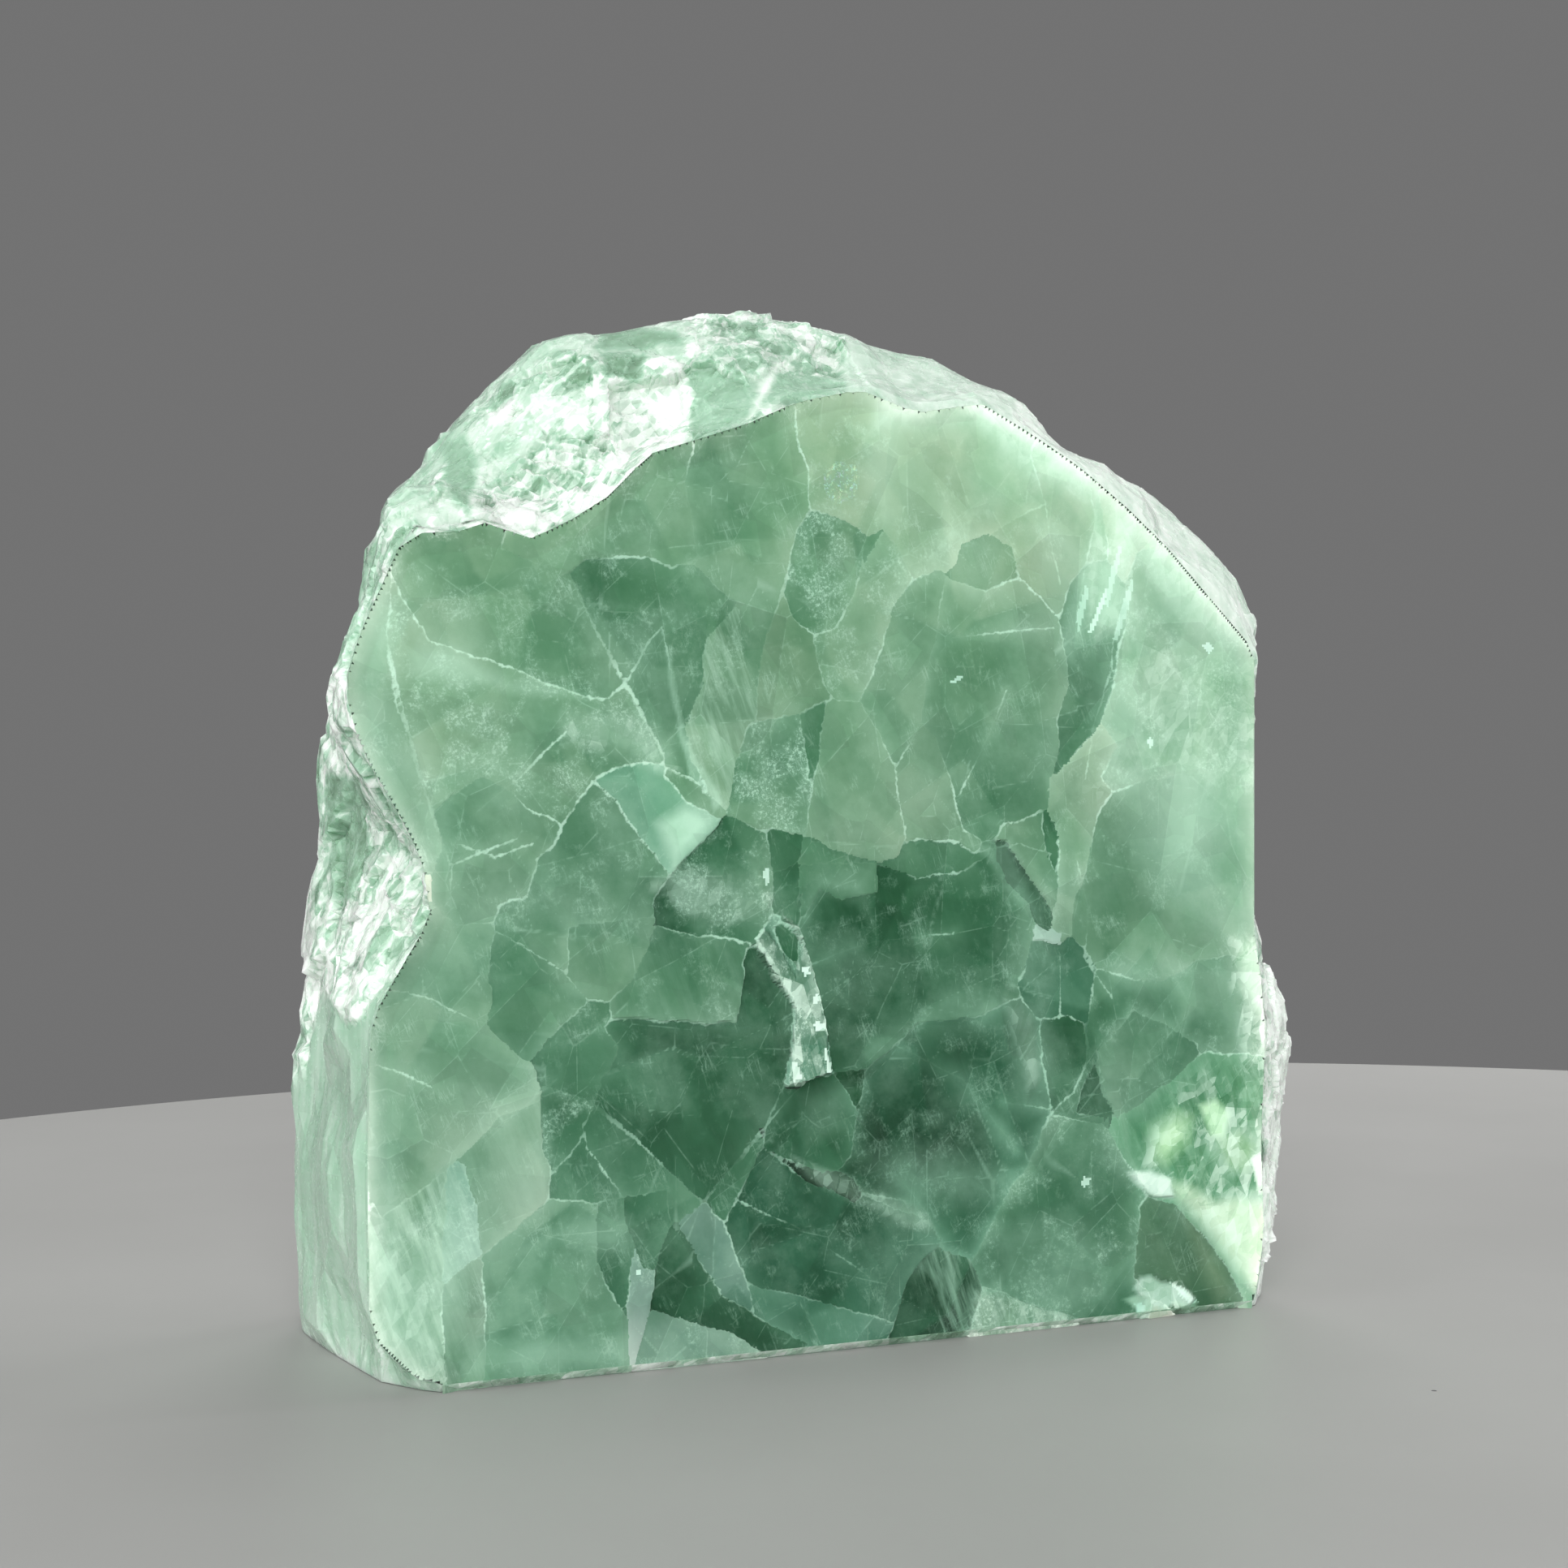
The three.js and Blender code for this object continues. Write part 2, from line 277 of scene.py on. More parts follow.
def new_finish(name):
    """An empty node material and the place on the piece, in metres, that patterns read."""
    finish = bpy.data.materials.new(name)
    finish.use_nodes = True
    tree = finish.node_tree
    tree.nodes.clear()
    return finish, tree, add(tree, "TexCoord").outputs["Object"]


print("nodes can be added")

# %% [markdown]
# ## The clear and broken skin
# Fluorite bends light by 1.434, less than window glass, so its polish is gentle. The absorption is
# what one metre of this stone would take from red, green and blue. One material covers the whole
# skin, because light has to leave through the same crystal that it came in by. The broken parts
# are told from the sawn ones by where they are: everything off the two sawn planes is broken.

# %% Skin: sawn or broken
ABSORBED_PER_M = (322.0, 184.0, 238.0)
FLUORITE_IOR = 1.434
FRONT_SLACK = 0.02  # mm behind the polished plane that still count as sawn
FOOT_SLACK = 0.03  # mm above the foot that still count as sawn

skin_finish, tree, place = new_finish("fluorite_skin")
xyz = add(tree, "SeparateXYZ", {0: place})
on_front = arithmetic(tree, "LESS_THAN", xyz.outputs["Y"], (FACE_Y + FRONT_SLACK) * MM)
on_foot = arithmetic(tree, "LESS_THAN", xyz.outputs["Z"], FOOT_SLACK * MM)
sawn = arithmetic(tree, "MAXIMUM", on_front, on_foot)
broken = arithmetic(tree, "SUBTRACT", 1.0, sawn)
print("the skin is sawn within", FRONT_SLACK, "mm of the front and", FOOT_SLACK, "mm of the foot")

# %% [markdown]
# A broken place is as white as its area, its chips, its crumbs and its ridges make it. Each of these is a
# pattern of its own size that pushes the whiteness up or down a little. The whitening along chip edges
# and steps is partly the white of broken crystal and partly painted highlight. Smooth places, such as the
# left flank, have no chips. There the milk is drawn out into upright streaks instead.

# %% Skin: how white
milk, rough, crease = stored(tree, "milk"), stored(tree, "rough"), stored(tree, "crease")
crumbs = grain(tree, place, 0.9, detail=4.0, rough=0.6)
crumbly = plus(
    tree,
    stretch(tree, shards(tree, place, 2.2, -0.5, 2.2), 0, 1, -0.24, 0.24),
    stretch(tree, shards(tree, place, 0.7, 0.7, 4.0), 0, 1, -0.24, 0.24),
    stretch(tree, shards(tree, place, 5.0, 1.0, 1.6), 0, 1, -0.16, 0.16),
    stretch(tree, crumbs, 0.3, 0.7, -0.05, 0.05),
)
crumbly = times(tree, crumbly, rough)
upright = add(tree, "Mapping", {"Vector": place, "Scale": (2.2, 2.2, 0.25)}).outputs[0]
drawn = stretch(tree, grain(tree, upright, 3.0, 4.0, 0.5), 0.3, 0.7, -0.10, 0.10)
drawn = times(tree, drawn, stretch(tree, rough, 0.1, 0.5, 1.0, 0.0))
patches = stretch(tree, grain(tree, place, 6.0, detail=5.0, rough=0.55), 0.3, 0.7, -0.12, 0.12)
patches = times(tree, patches, stretch(tree, rough, 0.0, 1.0, 0.4, 1.0))
# Whiter near chip edges and steps: partly the white of broken crystal, partly painted highlight.
near_crease = plus(tree, crease, stretch(tree, crumbs, 0.3, 0.7, -0.08, 0.10))
edge_white_and_highlight = times(tree, stretch(tree, near_crease, 0.02, 0.16, 0.4, 0.0), rough)
whiteness = plus(tree, plus(tree, milk, plus(tree, drawn, patches)), crumbly, edge_white_and_highlight)
whiteness = stretch(tree, whiteness, 0.0, 1.0)
print(len(tree.nodes), "nodes tell how white the skin is")

# %% Skin: colour and clearness
DEEP_LEAF = (0.20, 0.35, 0.23, 1)
PALE_LEAF = (0.37, 0.57, 0.43, 1)
CHALK = (0.80, 0.87, 0.81, 1)
CLEAR = (1, 1, 1, 1)

leafy = blend(tree, stretch(tree, whiteness, 0.0, 0.5), DEEP_LEAF, PALE_LEAF)
chalky = blend(tree, stretch(tree, whiteness, 0.5, 1.0), leafy, CHALK)
skin_colour = blend(tree, sawn, chalky, CLEAR)
seen_through = times(tree, broken, stretch(tree, whiteness, 0.1, 0.9, 0.20, 0.03))
seen_through = plus(tree, sawn, seen_through)
dull = plus(tree, times(tree, broken, stretch(tree, crumbs, 0.3, 0.7, 0.10, 0.32)), 0.012)
print("colours run from", DEEP_LEAF[:3], "to", CHALK[:3])

# %% Skin: bumps and flakes
bumps = times(tree, rough, plus(tree, grain(tree, place, 1.4, 6.0, 0.68), crumbs))
bumps = times(tree, broken, bumps)
pitted = add(tree, "Bump", {"Height": bumps, "Strength": 0.35, "Distance": 0.3 * MM})
flaky = times(tree, broken, stretch(tree, rough, 0.1, 0.9, 0.04, 0.55))
flaked = tilted(tree, pitted.outputs[0], shards(tree, place, 0.9, 0.6, 2.6, "direction"), flaky)
flaked = tilted(tree, flaked, shards(tree, place, 2.6, -0.7, 1.8, "direction"), flaky)
print("flakes of 0.9 and 2.6 mm tip the light")

# %% [markdown]
# Lamps are small beside a room, and a path that bends through the polish seldom meets one. So a
# lamp's own light passes the skin straight, weakened most where the skin is broken, and all that is
# looked at is bent as it should be. The volume inside does the rest: it takes red first, then blue,
# then green.

# %% Skin: shader
STRONGEST = max(ABSORBED_PER_M)
MOST = 0.9  # how dark the volume's colour is where most is absorbed; the density makes up for it

body = add(tree, "BsdfPrincipled", {
    "Base Color": skin_colour, "Roughness": dull, "IOR": FLUORITE_IOR,
    "Transmission Weight": seen_through, "Normal": flaked,
    "Specular Tint": (0.82, 1.0, 0.87, 1),
    "Subsurface Weight": 1.0, "Subsurface Radius": (0.75, 0.85, 0.78), "Subsurface Scale": 2.2 * MM,
})
lets_in = blend(tree, sawn, (0.30, 0.36, 0.31, 1), (0.95, 0.95, 0.95, 1))
lamp_way = add(tree, "BsdfTransparent", {"Color": lets_in})
for_lamps = add(tree, "LightPath").outputs["Is Shadow Ray"]
surface = add(tree, "MixShader", {0: for_lamps, 1: body.outputs[0], 2: lamp_way.outputs[0]})
left_over = [1 - taken / STRONGEST * MOST for taken in ABSORBED_PER_M]
depth_green = add(tree, "VolumeAbsorption", {"Color": (*left_over, 1), "Density": STRONGEST / MOST})
add(tree, "OutputMaterial", {"Surface": surface.outputs[0], "Volume": depth_green.outputs[0]})
through_a_cm = [round(float(np.exp(-taken * 0.01)), 2) for taken in ABSORBED_PER_M]
print("the skin lets through", through_a_cm, "of light a centimetre in")

# %% [markdown]
# ## The cracks and veils inside
# A crack in fluorite is a thin film of air, so it looks pale wherever it is seen. Values stored on
# the mesh tell its tint, its share of streaks, frost and splinters, how open the crack is, and how
# far the place lies from the grain's edge. That distance runs evenly across each triangle, so a
# line drawn where it is nearly nothing stays thin and crisp on a coarse mesh.

# %% Cracks: tint of the grains
MILK = (0.72, 0.82, 0.71, 1)
SHADED = (0.78, 0.87, 0.80, 1)

crack_finish, tree, place = new_finish("fluorite_cracks")
own = add(tree, "SeparateColor", {0: stored(tree, "own", "Color")})
streak, frost, shimmer_share = own.outputs[0], own.outputs[1], own.outputs[2]
tint = stored(tree, "tint", "Color")
blotches = grain(tree, place, 9.0, detail=5.0, rough=0.5, warp=0.15)
fine = grain(tree, place, 1.3, detail=6.0, rough=0.7)
cloudy = plus(tree, times(tree, blotches, 0.75), times(tree, fine, 0.25))
paler = blend(tree, 0.16, tint, MILK)
smoky = blend(tree, stretch(tree, cloudy, 0.48, 0.66), tint, paler)
darker = blend(tree, 1.0, tint, SHADED, "MULTIPLY")
smoky = blend(tree, stretch(tree, cloudy, 0.48, 0.34), smoky, darker)
facet = plus(
    tree,
    stretch(tree, shards(tree, place, 7.0, 0.5, 1.7), 0, 1, 0.42, 0.58),
    stretch(tree, shards(tree, place, 3.0, -0.8, 2.0), 0, 1, 0.44, 0.56),
)
smoky = add(tree, "VectorMath", {0: smoky, "Scale": facet}, operation="SCALE").outputs[0]
print(len(tree.nodes), "nodes tint the grains")

# %% [markdown]
# Three things lie over the tint. Streaks are drawn out along one slant, like brushed milk.
# Splinters are flakes of three sizes. Some get a painted highlight, and others get a dark gap of painted
# shade. Frost is a dust of specks that gathers in small clouds.

# %% Cracks: streaks, splinters with painted highlights and shade, and frost
# The colour of a painted glint, the painted shade of a gap, and the white of rime
PAINTED_GLINT = (0.86, 0.93, 0.84, 1)
PAINTED_GAP_SHADE = (0.50, 0.68, 0.54, 1)
RIME = (0.80, 0.90, 0.80, 1)

slanted = add(tree, "Mapping", {
    "Vector": place, "Rotation": (0, -0.35, 0), "Scale": (0.33, 1, 2.5),
}, vector_type="TEXTURE").outputs[0]
streaks = grain(tree, slanted, 2.6, 6.0, 0.6)
smoky = blend(tree, times(tree, stretch(tree, streaks, 0.42, 0.68, 0.0, 0.55), streak), smoky, MILK)

shatter_and_glint = stored(tree, "shatter_and_glint")
glassy = plus(
    tree,
    times(tree, shards(tree, place, 3.2, -0.5, 2.4), 0.4),
    times(tree, shards(tree, place, 1.4, 0.3, 2.4), 0.35),
    times(tree, shards(tree, place, 0.7, 0.9, 1.5), 0.25),
)
# Where the crystal is splintered, some flakes get a painted highlight and others get painted shade.
painted_glint_share = times(tree, stretch(tree, glassy, 0.50, 0.85, 0.0, 0.9), shatter_and_glint)
smoky = blend(tree, painted_glint_share, smoky, PAINTED_GLINT)
painted_shade_share = times(tree, stretch(tree, glassy, 0.45, 0.15, 0.0, 0.9), shatter_and_glint)
smoky = blend(tree, painted_shade_share, smoky, blend(tree, 1.0, smoky, PAINTED_GAP_SHADE, "MULTIPLY"))

specks = grain(tree, place, 0.36, detail=3.0, rough=0.8)
cloudlets = grain(tree, place, 3.4, detail=5.0, rough=0.66)
frosty = stretch(tree, plus(tree, cloudlets, times(tree, frost, 0.11)), 0.54, 0.68)
speckled = times(tree, stretch(tree, specks, 0.50, 0.64, 0.12, 0.75), frosty)
speckled = times(tree, speckled, stretch(tree, frost, 0.0, 1.0, 0.15, 0.9))
smoky = blend(tree, speckled, smoky, RIME)
print(len(tree.nodes), "nodes with streaks, splinters and frost")

# %% [markdown]
# Lines come last, and the strongest at each place wins. The seam between two grains is drawn where
# the stored distance to the edge is nearly nothing, wide and bright where the crack is open and
# almost gone where it is closed. Fainter hairlines, clefts, nicks and curled wisps cross the grains.

# %% Cracks: seams and hairlines
opening_near = stored(tree, "opening")
wander = stretch(tree, grain(tree, place, 0.7, 4.0, 0.6), 0.3, 0.7, -0.06, 0.09)
seam = times(tree, stored(tree, "to_edge"), stretch(tree, opening_near, 0.2, 0.8, 0.6, 1.4))
line = stretch(tree, plus(tree, seam, wander), 0.01, 0.10, 0.85, 0.0)
line = times(tree, line, stretch(tree, opening_near, 0.65, 0.15, 0.05, 0.85))
hairline = stretch(tree, stored(tree, "hair"), 0.02, 0.10, 0.22, 0.0)
cleft = stretch(tree, shards(tree, place, 7.0, 0.5, 1.7, gives="edge"), 0.0, 0.009, 0.2, 0.0)
nick = stretch(tree, shards(tree, place, 2.4, 1.1, 3.0, gives="edge"), 0.0, 0.025, 0.17, 0.0)
curl = arithmetic(tree, "SUBTRACT", grain(tree, slanted, 4.0, 7.0, 0.62, 0.5), 0.5)
wisp = stretch(tree, arithmetic(tree, "ABSOLUTE", curl), 0.0, 0.02, 0.28, 0.0)
for faint, where_seen in (
    (hairline, stretch(tree, blotches, 0.40, 0.58)),
    (cleft, stretch(tree, fine, 0.42, 0.58)),
    (nick, stretch(tree, cloudlets, 0.52, 0.64)),
    (wisp, stretch(tree, cloudlets, 0.50, 0.66)),
):
    line = arithmetic(tree, "MAXIMUM", line, times(tree, faint, where_seen))
crack_colour = blend(tree, line, smoky, RIME)
print(len(tree.nodes), "nodes with the lines")

# %% [markdown]
# One spot near the top shimmers in rainbow specks, where a film is so thin that it splits light.
#
# Light wanders inside real fluorite and reaches a crack from every side. So the cracks are shaded
# as if they leaned towards the polished front, instead of like plaster lit by one lamp.

# %% Cracks: shimmer and shader
TOWARDS_FRONT = (0.0, -2.2, 0.25)

hue = grain(tree, place, 0.8, 2.0, 0.7)
rainbow = {0: stretch(tree, hue, 0.3, 0.7, 0.0, 0.9), 1: 0.32, 2: 0.95}
flash = add(tree, "CombineColor", rainbow, mode="HSV").outputs[0]
flashing = times(tree, shimmer_share, stretch(tree, specks, 0.52, 0.64, 0.06, 0.6))
crack_colour = blend(tree, flashing, crack_colour, flash)
facing = add(tree, "NewGeometry").outputs["Normal"]
leaning = add(tree, "VectorMath", {0: facing, 1: TOWARDS_FRONT}, operation="ADD").outputs[0]
leaning = add(tree, "VectorMath", {0: leaning}, operation="NORMALIZE").outputs[0]
crack_body = add(tree, "BsdfPrincipled", {
    "Base Color": crack_colour, "Roughness": 0.45, "IOR": 1.25, "Normal": leaning,
})
add(tree, "OutputMaterial", {"Surface": crack_body.outputs[0]})
print(len(tree.nodes), "nodes make the cracks")

# %% [markdown]
# ## The grains behind the window
# The polished front shows about eighty grains, parted by cracks. Each grain is as green as the eye
# gets deep into it, less on one side and more on the other. So each grain is written down as a
# name, its least and greatest depth in mm, the direction in which it deepens (0 is right, 90 is
# up), a share of frost, and its outline.
#
# Each grain could be its own solid, but their walls would have to meet without a gap, and steep
# walls look carved. It is simpler to make one surface for all of them: a nearly flat landscape
# close behind the polish, where each face of the mesh belongs to one grain.

# %% Grains: name, shallow, deep, deepens towards, frost, outline
GRAINS = [
    ("ear", 1.9, 2.4, 225, 0.3,
     "462,690 483,712 478,790 487,850 500,900 534,1003 549,1045 521,1052 479,1054 470,991 445,937 "
     "424,886 430,830 446,760"),
    ("upper_left", 1.9, 3.1, 15, 0.35,
     "483,712 500,655 558,660 594,650 619,676 660,694 672,723 704,705 733,769 772,841 751,862 "
     "726,859 669,841 611,816 554,798 529,791 508,755"),
    ("frost_band", 1.7, 3.0, 330, 0.7,
     "483,712 508,755 529,791 554,798 611,816 669,841 726,859 751,862 772,841 797,887 819,930 "
     "786,938 763,946 736,959 714,988 694,1015 656,999 633,977 595,955 564,977 538,996 518,977 "
     "503,942 487,850 478,790"),
    ("shard", 2.0, 2.8, 285, 0.3,
     "619,676 661,666 708,641 744,616 783,569 826,534 851,555 845,594 854,630 861,684 829,701 "
     "797,687 772,684 726,691 672,723 660,694"),
    ("crown_window", 3.3, 3.8, 165, 0.35,
     "704,705 726,691 772,684 797,687 829,701 854,703 883,723 908,741 894,766 872,787 867,809 "
     "869,841 847,898 836,851 829,819 819,773 790,800 772,841 733,769"),
    ("crown_spear", 2.7, 4.2, 105, 0.0,
     "772,841 819,773 829,819 836,851 847,898 854,937 878,980 863,957 819,930 797,887"),
    ("pale_blade", 1.7, 3.0, 75, 0.4,
     "894,766 913,751 915,784 920,819 931,844 935,880 916,919 897,996 878,980 854,937 847,898 "
     "869,841 867,809 872,787"),
    ("tall_window", 2.0, 3.0, 210, 0.0,
     "856,555 886,548 919,526 954,506 976,505 985,550 996,576 989,621 976,692 967,733 954,766 "
     "940,809 935,844 931,844 920,819 915,784 913,751 908,741 883,723 861,684 854,630 845,594"),
    ("tall_right", 2.3, 2.6, 345, 0.0,
     "976,692 967,733 980,768 1005,782 1009,817 1021,849 1025,862 989,882 935,887 935,844 940,809 "
     "954,766"),
    ("rainbow", 1.3, 1.8, 210, 0.5,
     "980,505 1029,485 1065,480 1085,520 1092,581 1092,630 1088,648 1067,657 1047,643 1021,632 "
     "1007,612 1003,581 985,550"),
    ("frost_oval", 2.4, 3.7, 150, 0.9,
     "985,652 1021,632 1047,643 1067,657 1065,692 1052,733 1034,773 1007,782 980,768 967,733 "
     "976,692"),
    ("small_wedge", 2.4, 2.7, 195, 0.0,
     "1070,666 1088,652 1079,675 1067,697"),
    ("tip_grain", 1.6, 2.4, 180, 0.6,
     "1088,652 1114,692 1128,715 1101,750 1092,786 1079,831 1061,864 1038,862 1021,849 1009,817 "
     "1005,782 1034,773 1052,733 1065,692 1079,675"),
    ("narrow", 2.1, 2.3, 180, 0.0,
     "1128,715 1159,710 1159,768 1146,826 1137,889 1132,911 1105,942 1096,925 1079,893 1063,864 "
     "1079,831 1092,786 1101,750"),
    ("dome_cloud", 1.4, 1.6, 180, 0.2,
     "1088,648 1092,581 1110,530 1177,510 1230,520 1270,560 1290,620 1226,655 1186,670 1181,692 "
     "1159,699 1128,715 1114,692"),
    ("dome_right", 1.0, 2.0, 240, 0.3,
     "1270,560 1330,600 1345,680 1320,719 1311,759 1293,750 1279,733 1257,715 1226,655 1290,620"),
    ("round_top", 2.3, 2.5, 105, 0.0,
     "1181,692 1186,670 1221,657 1248,675 1257,715 1217,728 1177,715"),
    ("big_right", 2.0, 3.2, 270, 0.0,
     "1159,768 1177,715 1217,728 1257,715 1279,733 1293,750 1306,764 1315,800 1320,844 1306,889 "
     "1308,925 1297,965 1293,1000 1239,1016 1190,1023 1177,974 1154,907 1137,889 1146,826"),
    ("strip_right", 2.7, 4.5, 300, 0.0,
     "1311,759 1320,719 1345,700 1391,768 1382,800 1375,844 1360,893 1333,925 1302,960 1308,925 "
     "1306,889 1320,844 1315,800"),
    ("frost_block", 2.4, 3.4, 75, 1.0,
     "927,893 989,882 998,916 996,969 994,1030 958,1018 940,1023 900,1000 909,938"),
    ("dark_slit", 3.1, 3.3, 165, 0.0,
     "989,882 1021,862 1009,938 998,960"),
    ("trapezoid", 1.7, 2.2, 165, 0.0,
     "1025,862 1063,867 1079,893 1103,947 1108,983 1117,1023 1101,1063 1052,1059 994,1032 "
     "1003,1005 1009,938"),
    ("beside_trapezoid", 1.9, 2.4, 0, 0.0,
     "1103,947 1137,893 1154,907 1177,974 1190,1023 1204,1050 1177,1036 1119,1038 1108,983"),
    ("left_mid", 2.5, 3.0, 135, 0.0,
     "538,996 564,977 595,955 633,977 656,999 694,1015 683,1045 664,1057 660,1080 652,1107 "
     "618,1114 595,1137 564,1141 557,1122 559,1068 549,1045"),
    ("pale_wedge", 1.1, 2.8, 165, 0.2,
     "737,959 786,938 813,954 828,969 847,992 886,1011 867,1042 840,1065 826,1080 802,1049 "
     "779,1019 756,984"),
    ("dark_tri", 1.9, 2.6, 120, 0.0,
     "825,957 859,973 895,999 882,1007 844,984"),
    ("heart", 2.8, 3.8, 120, 0.35,
     "736,961 756,988 782,1022 805,1053 824,1080 809,1107 809,1130 763,1137 702,1145 702,1202 "
     "664,1176 618,1153 618,1114 652,1107 660,1080 664,1057 683,1045 694,1015 714,988"),
    ("below_heart", 2.0, 3.5, 150, 0.0,
     "702,1145 763,1137 809,1130 798,1176 775,1206 733,1233 702,1202"),
    ("left_low", 2.3, 2.6, 105, 0.0,
     "530,1141 564,1141 595,1137 606,1168 603,1206 610,1237 599,1264 534,1233 465,1218 480,1195 "
     "503,1168"),
    ("kite", 3.1, 3.6, 285, 0.0,
     "618,1153 664,1176 698,1202 725,1237 694,1264 668,1294 652,1308 618,1283 599,1264 610,1237 "
     "603,1206 603,1168"),
    ("small_round", 3.9, 4.7, 210, 0.3,
     "733,1233 756,1256 750,1267 763,1290 756,1317 744,1332 735,1363 702,1348 668,1338 658,1309 "
     "668,1294 694,1264"),
    ("big_left", 1.8, 2.6, 105, 0.0,
     "457,1233 465,1218 534,1233 599,1264 652,1308 660,1321 668,1359 618,1378 580,1417 564,1432 "
     "522,1466 470,1500 457,1480"),
    ("big_left_low", 1.6, 2.6, 150, 0.0,
     "668,1359 670,1397 680,1443 680,1478 595,1549 586,1487 576,1437 564,1432 580,1417 618,1378"),
    ("streaky", 1.4, 1.9, 165, 0.4,
     "564,1432 576,1437 586,1487 595,1549 545,1586 547,1540 553,1445"),
    ("lower_left_pale", 1.9, 2.2, 150, 0.3,
     "457,1480 470,1500 522,1466 553,1445 547,1540 545,1586 547,1652 549,1694 500,1690 457,1650"),
    ("base_left", 1.9, 2.7, 210, 0.0,
     "545,1586 595,1549 599,1611 600,1698 549,1694 547,1652"),
    ("base_block", 2.7, 2.7, 165, 0.15,
     "595,1549 680,1478 736,1487 740,1557 760,1607 775,1632 777,1681 773,1698 600,1700 599,1611"),
    ("small_left_mid", 3.6, 4.3, 105, 0.7,
     "671,1340 702,1348 733,1363 721,1390 723,1401 702,1428 683,1447 673,1424 668,1378"),
    ("low_mid_1", 3.6, 4.3, 150, 0.0,
     "683,1447 702,1428 723,1401 725,1420 769,1478 736,1487 680,1478"),
    ("low_mid_2", 3.3, 4.3, 90, 0.0,
     "735,1365 782,1401 817,1436 870,1482 839,1507 827,1499 827,1466 769,1478 725,1420 721,1390"),
    ("low_mid_3", 3.4, 3.9, 195, 0.0,
     "736,1487 769,1478 771,1499 783,1540 773,1623 760,1607 740,1557"),
    ("low_mid_4", 3.4, 4.9, 180, 0.0,
     "769,1478 827,1466 827,1499 814,1549 806,1569 794,1565 785,1532 771,1499"),
    ("sliver_low", 1.1, 2.6, 45, 0.6,
     "783,1540 794,1565 806,1569 802,1615 789,1652 777,1686 773,1623"),
    ("olive", 4.4, 5.7, 225, 0.0,
     "839,1511 864,1557 893,1599 930,1623 1000,1661 955,1677 930,1661 901,1644 848,1628 802,1615 "
     "810,1565 818,1536"),
    ("pale_wedge_low", 2.7, 3.7, 240, 0.0,
     "872,1482 885,1499 897,1516 910,1545 924,1582 930,1619 893,1599 885,1582 864,1557 839,1511"),
    ("foot_pale", 1.5, 3.2, 195, 0.5,
     "802,1617 848,1628 901,1644 955,1677 785,1688"),
    ("dark_belly", 5.2, 5.7, 60, 0.0,
     "756,1258 863,1262 911,1262 913,1237 920,1202 925,1168 945,1180 980,1244 976,1302 967,1342 "
     "949,1387 905,1440 870,1482 828,1446 782,1401 735,1363 744,1332 756,1317 763,1290 750,1267"),
    ("block", 2.5, 3.5, 90, 0.35,
     "809,1141 859,1153 893,1154 928,1164 914,1187 920,1202 914,1237 911,1262 863,1262 828,1260 "
     "756,1256 779,1218 802,1168"),
    ("frost_cap", 3.3, 5.1, 165, 0.8,
     "897,1011 950,1030 949,1061 954,1096 945,1130 932,1164 893,1154 859,1153 809,1141 809,1118 "
     "821,1091 840,1065 867,1042"),
    ("thin_strip", 3.9, 4.7, 165, 0.0,
     "939,1400 939,1420 897,1507 885,1499 872,1482 918,1429"),
    ("teal_low", 4.5, 6.2, 150, 0.2,
     "939,1420 950,1421 993,1451 1057,1485 1129,1506 1164,1532 1138,1558 1121,1579 1100,1630 "
     "1014,1605 950,1592 926,1582 910,1549 897,1511"),
    ("lens", 8.7, 9.4, 240, 0.0,
     "950,1421 1014,1447 1053,1459 1057,1485 993,1455"),
    ("base_teal", 3.3, 4.5, 180, 0.0,
     "926,1582 950,1592 1014,1605 1100,1630 1087,1660 955,1677 1000,1661 930,1623"),
    ("dark_tri_low", 6.2, 6.9, 105, 0.0,
     "1134,1566 1168,1643 1150,1655 1100,1652 1121,1590"),
    ("striated", 5.8, 7.4, 210, 0.0,
     "1134,1566 1159,1545 1189,1553 1215,1588 1194,1643 1168,1645"),
    ("white_foot", 2.5, 3.5, 280, 0.8,
     "1215,1588 1249,1600 1290,1615 1335,1628 1198,1647"),
    ("cloudy_low", 3.3, 4.3, 210, 0.6,
     "1206,1549 1249,1464 1270,1438 1296,1378 1356,1395 1403,1447 1407,1489 1403,1541 1394,1575 "
     "1399,1613 1335,1628 1290,1615 1249,1600 1215,1588"),
    ("brown", 3.7, 4.2, 225, 0.0,
     "1407,1489 1450,1489 1488,1528 1514,1566 1531,1605 1480,1613 1441,1583 1403,1571 1403,1541"),
    ("glow", 2.1, 3.7, 120, 0.0,
     "1394,1442 1375,1382 1416,1357 1454,1327 1500,1300 1560,1300 1578,1400 1575,1500 1560,1600 "
     "1535,1609 1527,1583 1488,1524 1450,1485"),
    ("dark_heart", 4.7, 7.2, 150, 0.3,
     "1072,1321 1100,1288 1129,1265 1213,1253 1253,1233 1283,1263 1288,1310 1298,1370 1266,1442 "
     "1249,1459 1224,1524 1206,1549 1166,1541 1134,1494 1091,1476 1044,1447 1053,1421 1063,1374"),
    ("below_wedge", 4.8, 5.8, 150, 0.0,
     "967,1344 1031,1327 1063,1370 1053,1429 1014,1447 950,1421 949,1387"),
    ("by_wedge", 6.0, 6.3, 60, 0.0,
     "1031,1323 1070,1318 1063,1372"),
    ("big_dark", 4.2, 5.2, 195, 0.2,
     "1081,1065 1123,1085 1177,1074 1213,1061 1226,1052 1239,1096 1271,1114 1275,1150 1266,1177 "
     "1257,1213 1253,1233 1213,1253 1137,1262 1101,1297 1070,1320 1031,1322 1016,1257 1003,1190 "
     "990,1150 994,1132 1012,1096 1040,1066"),
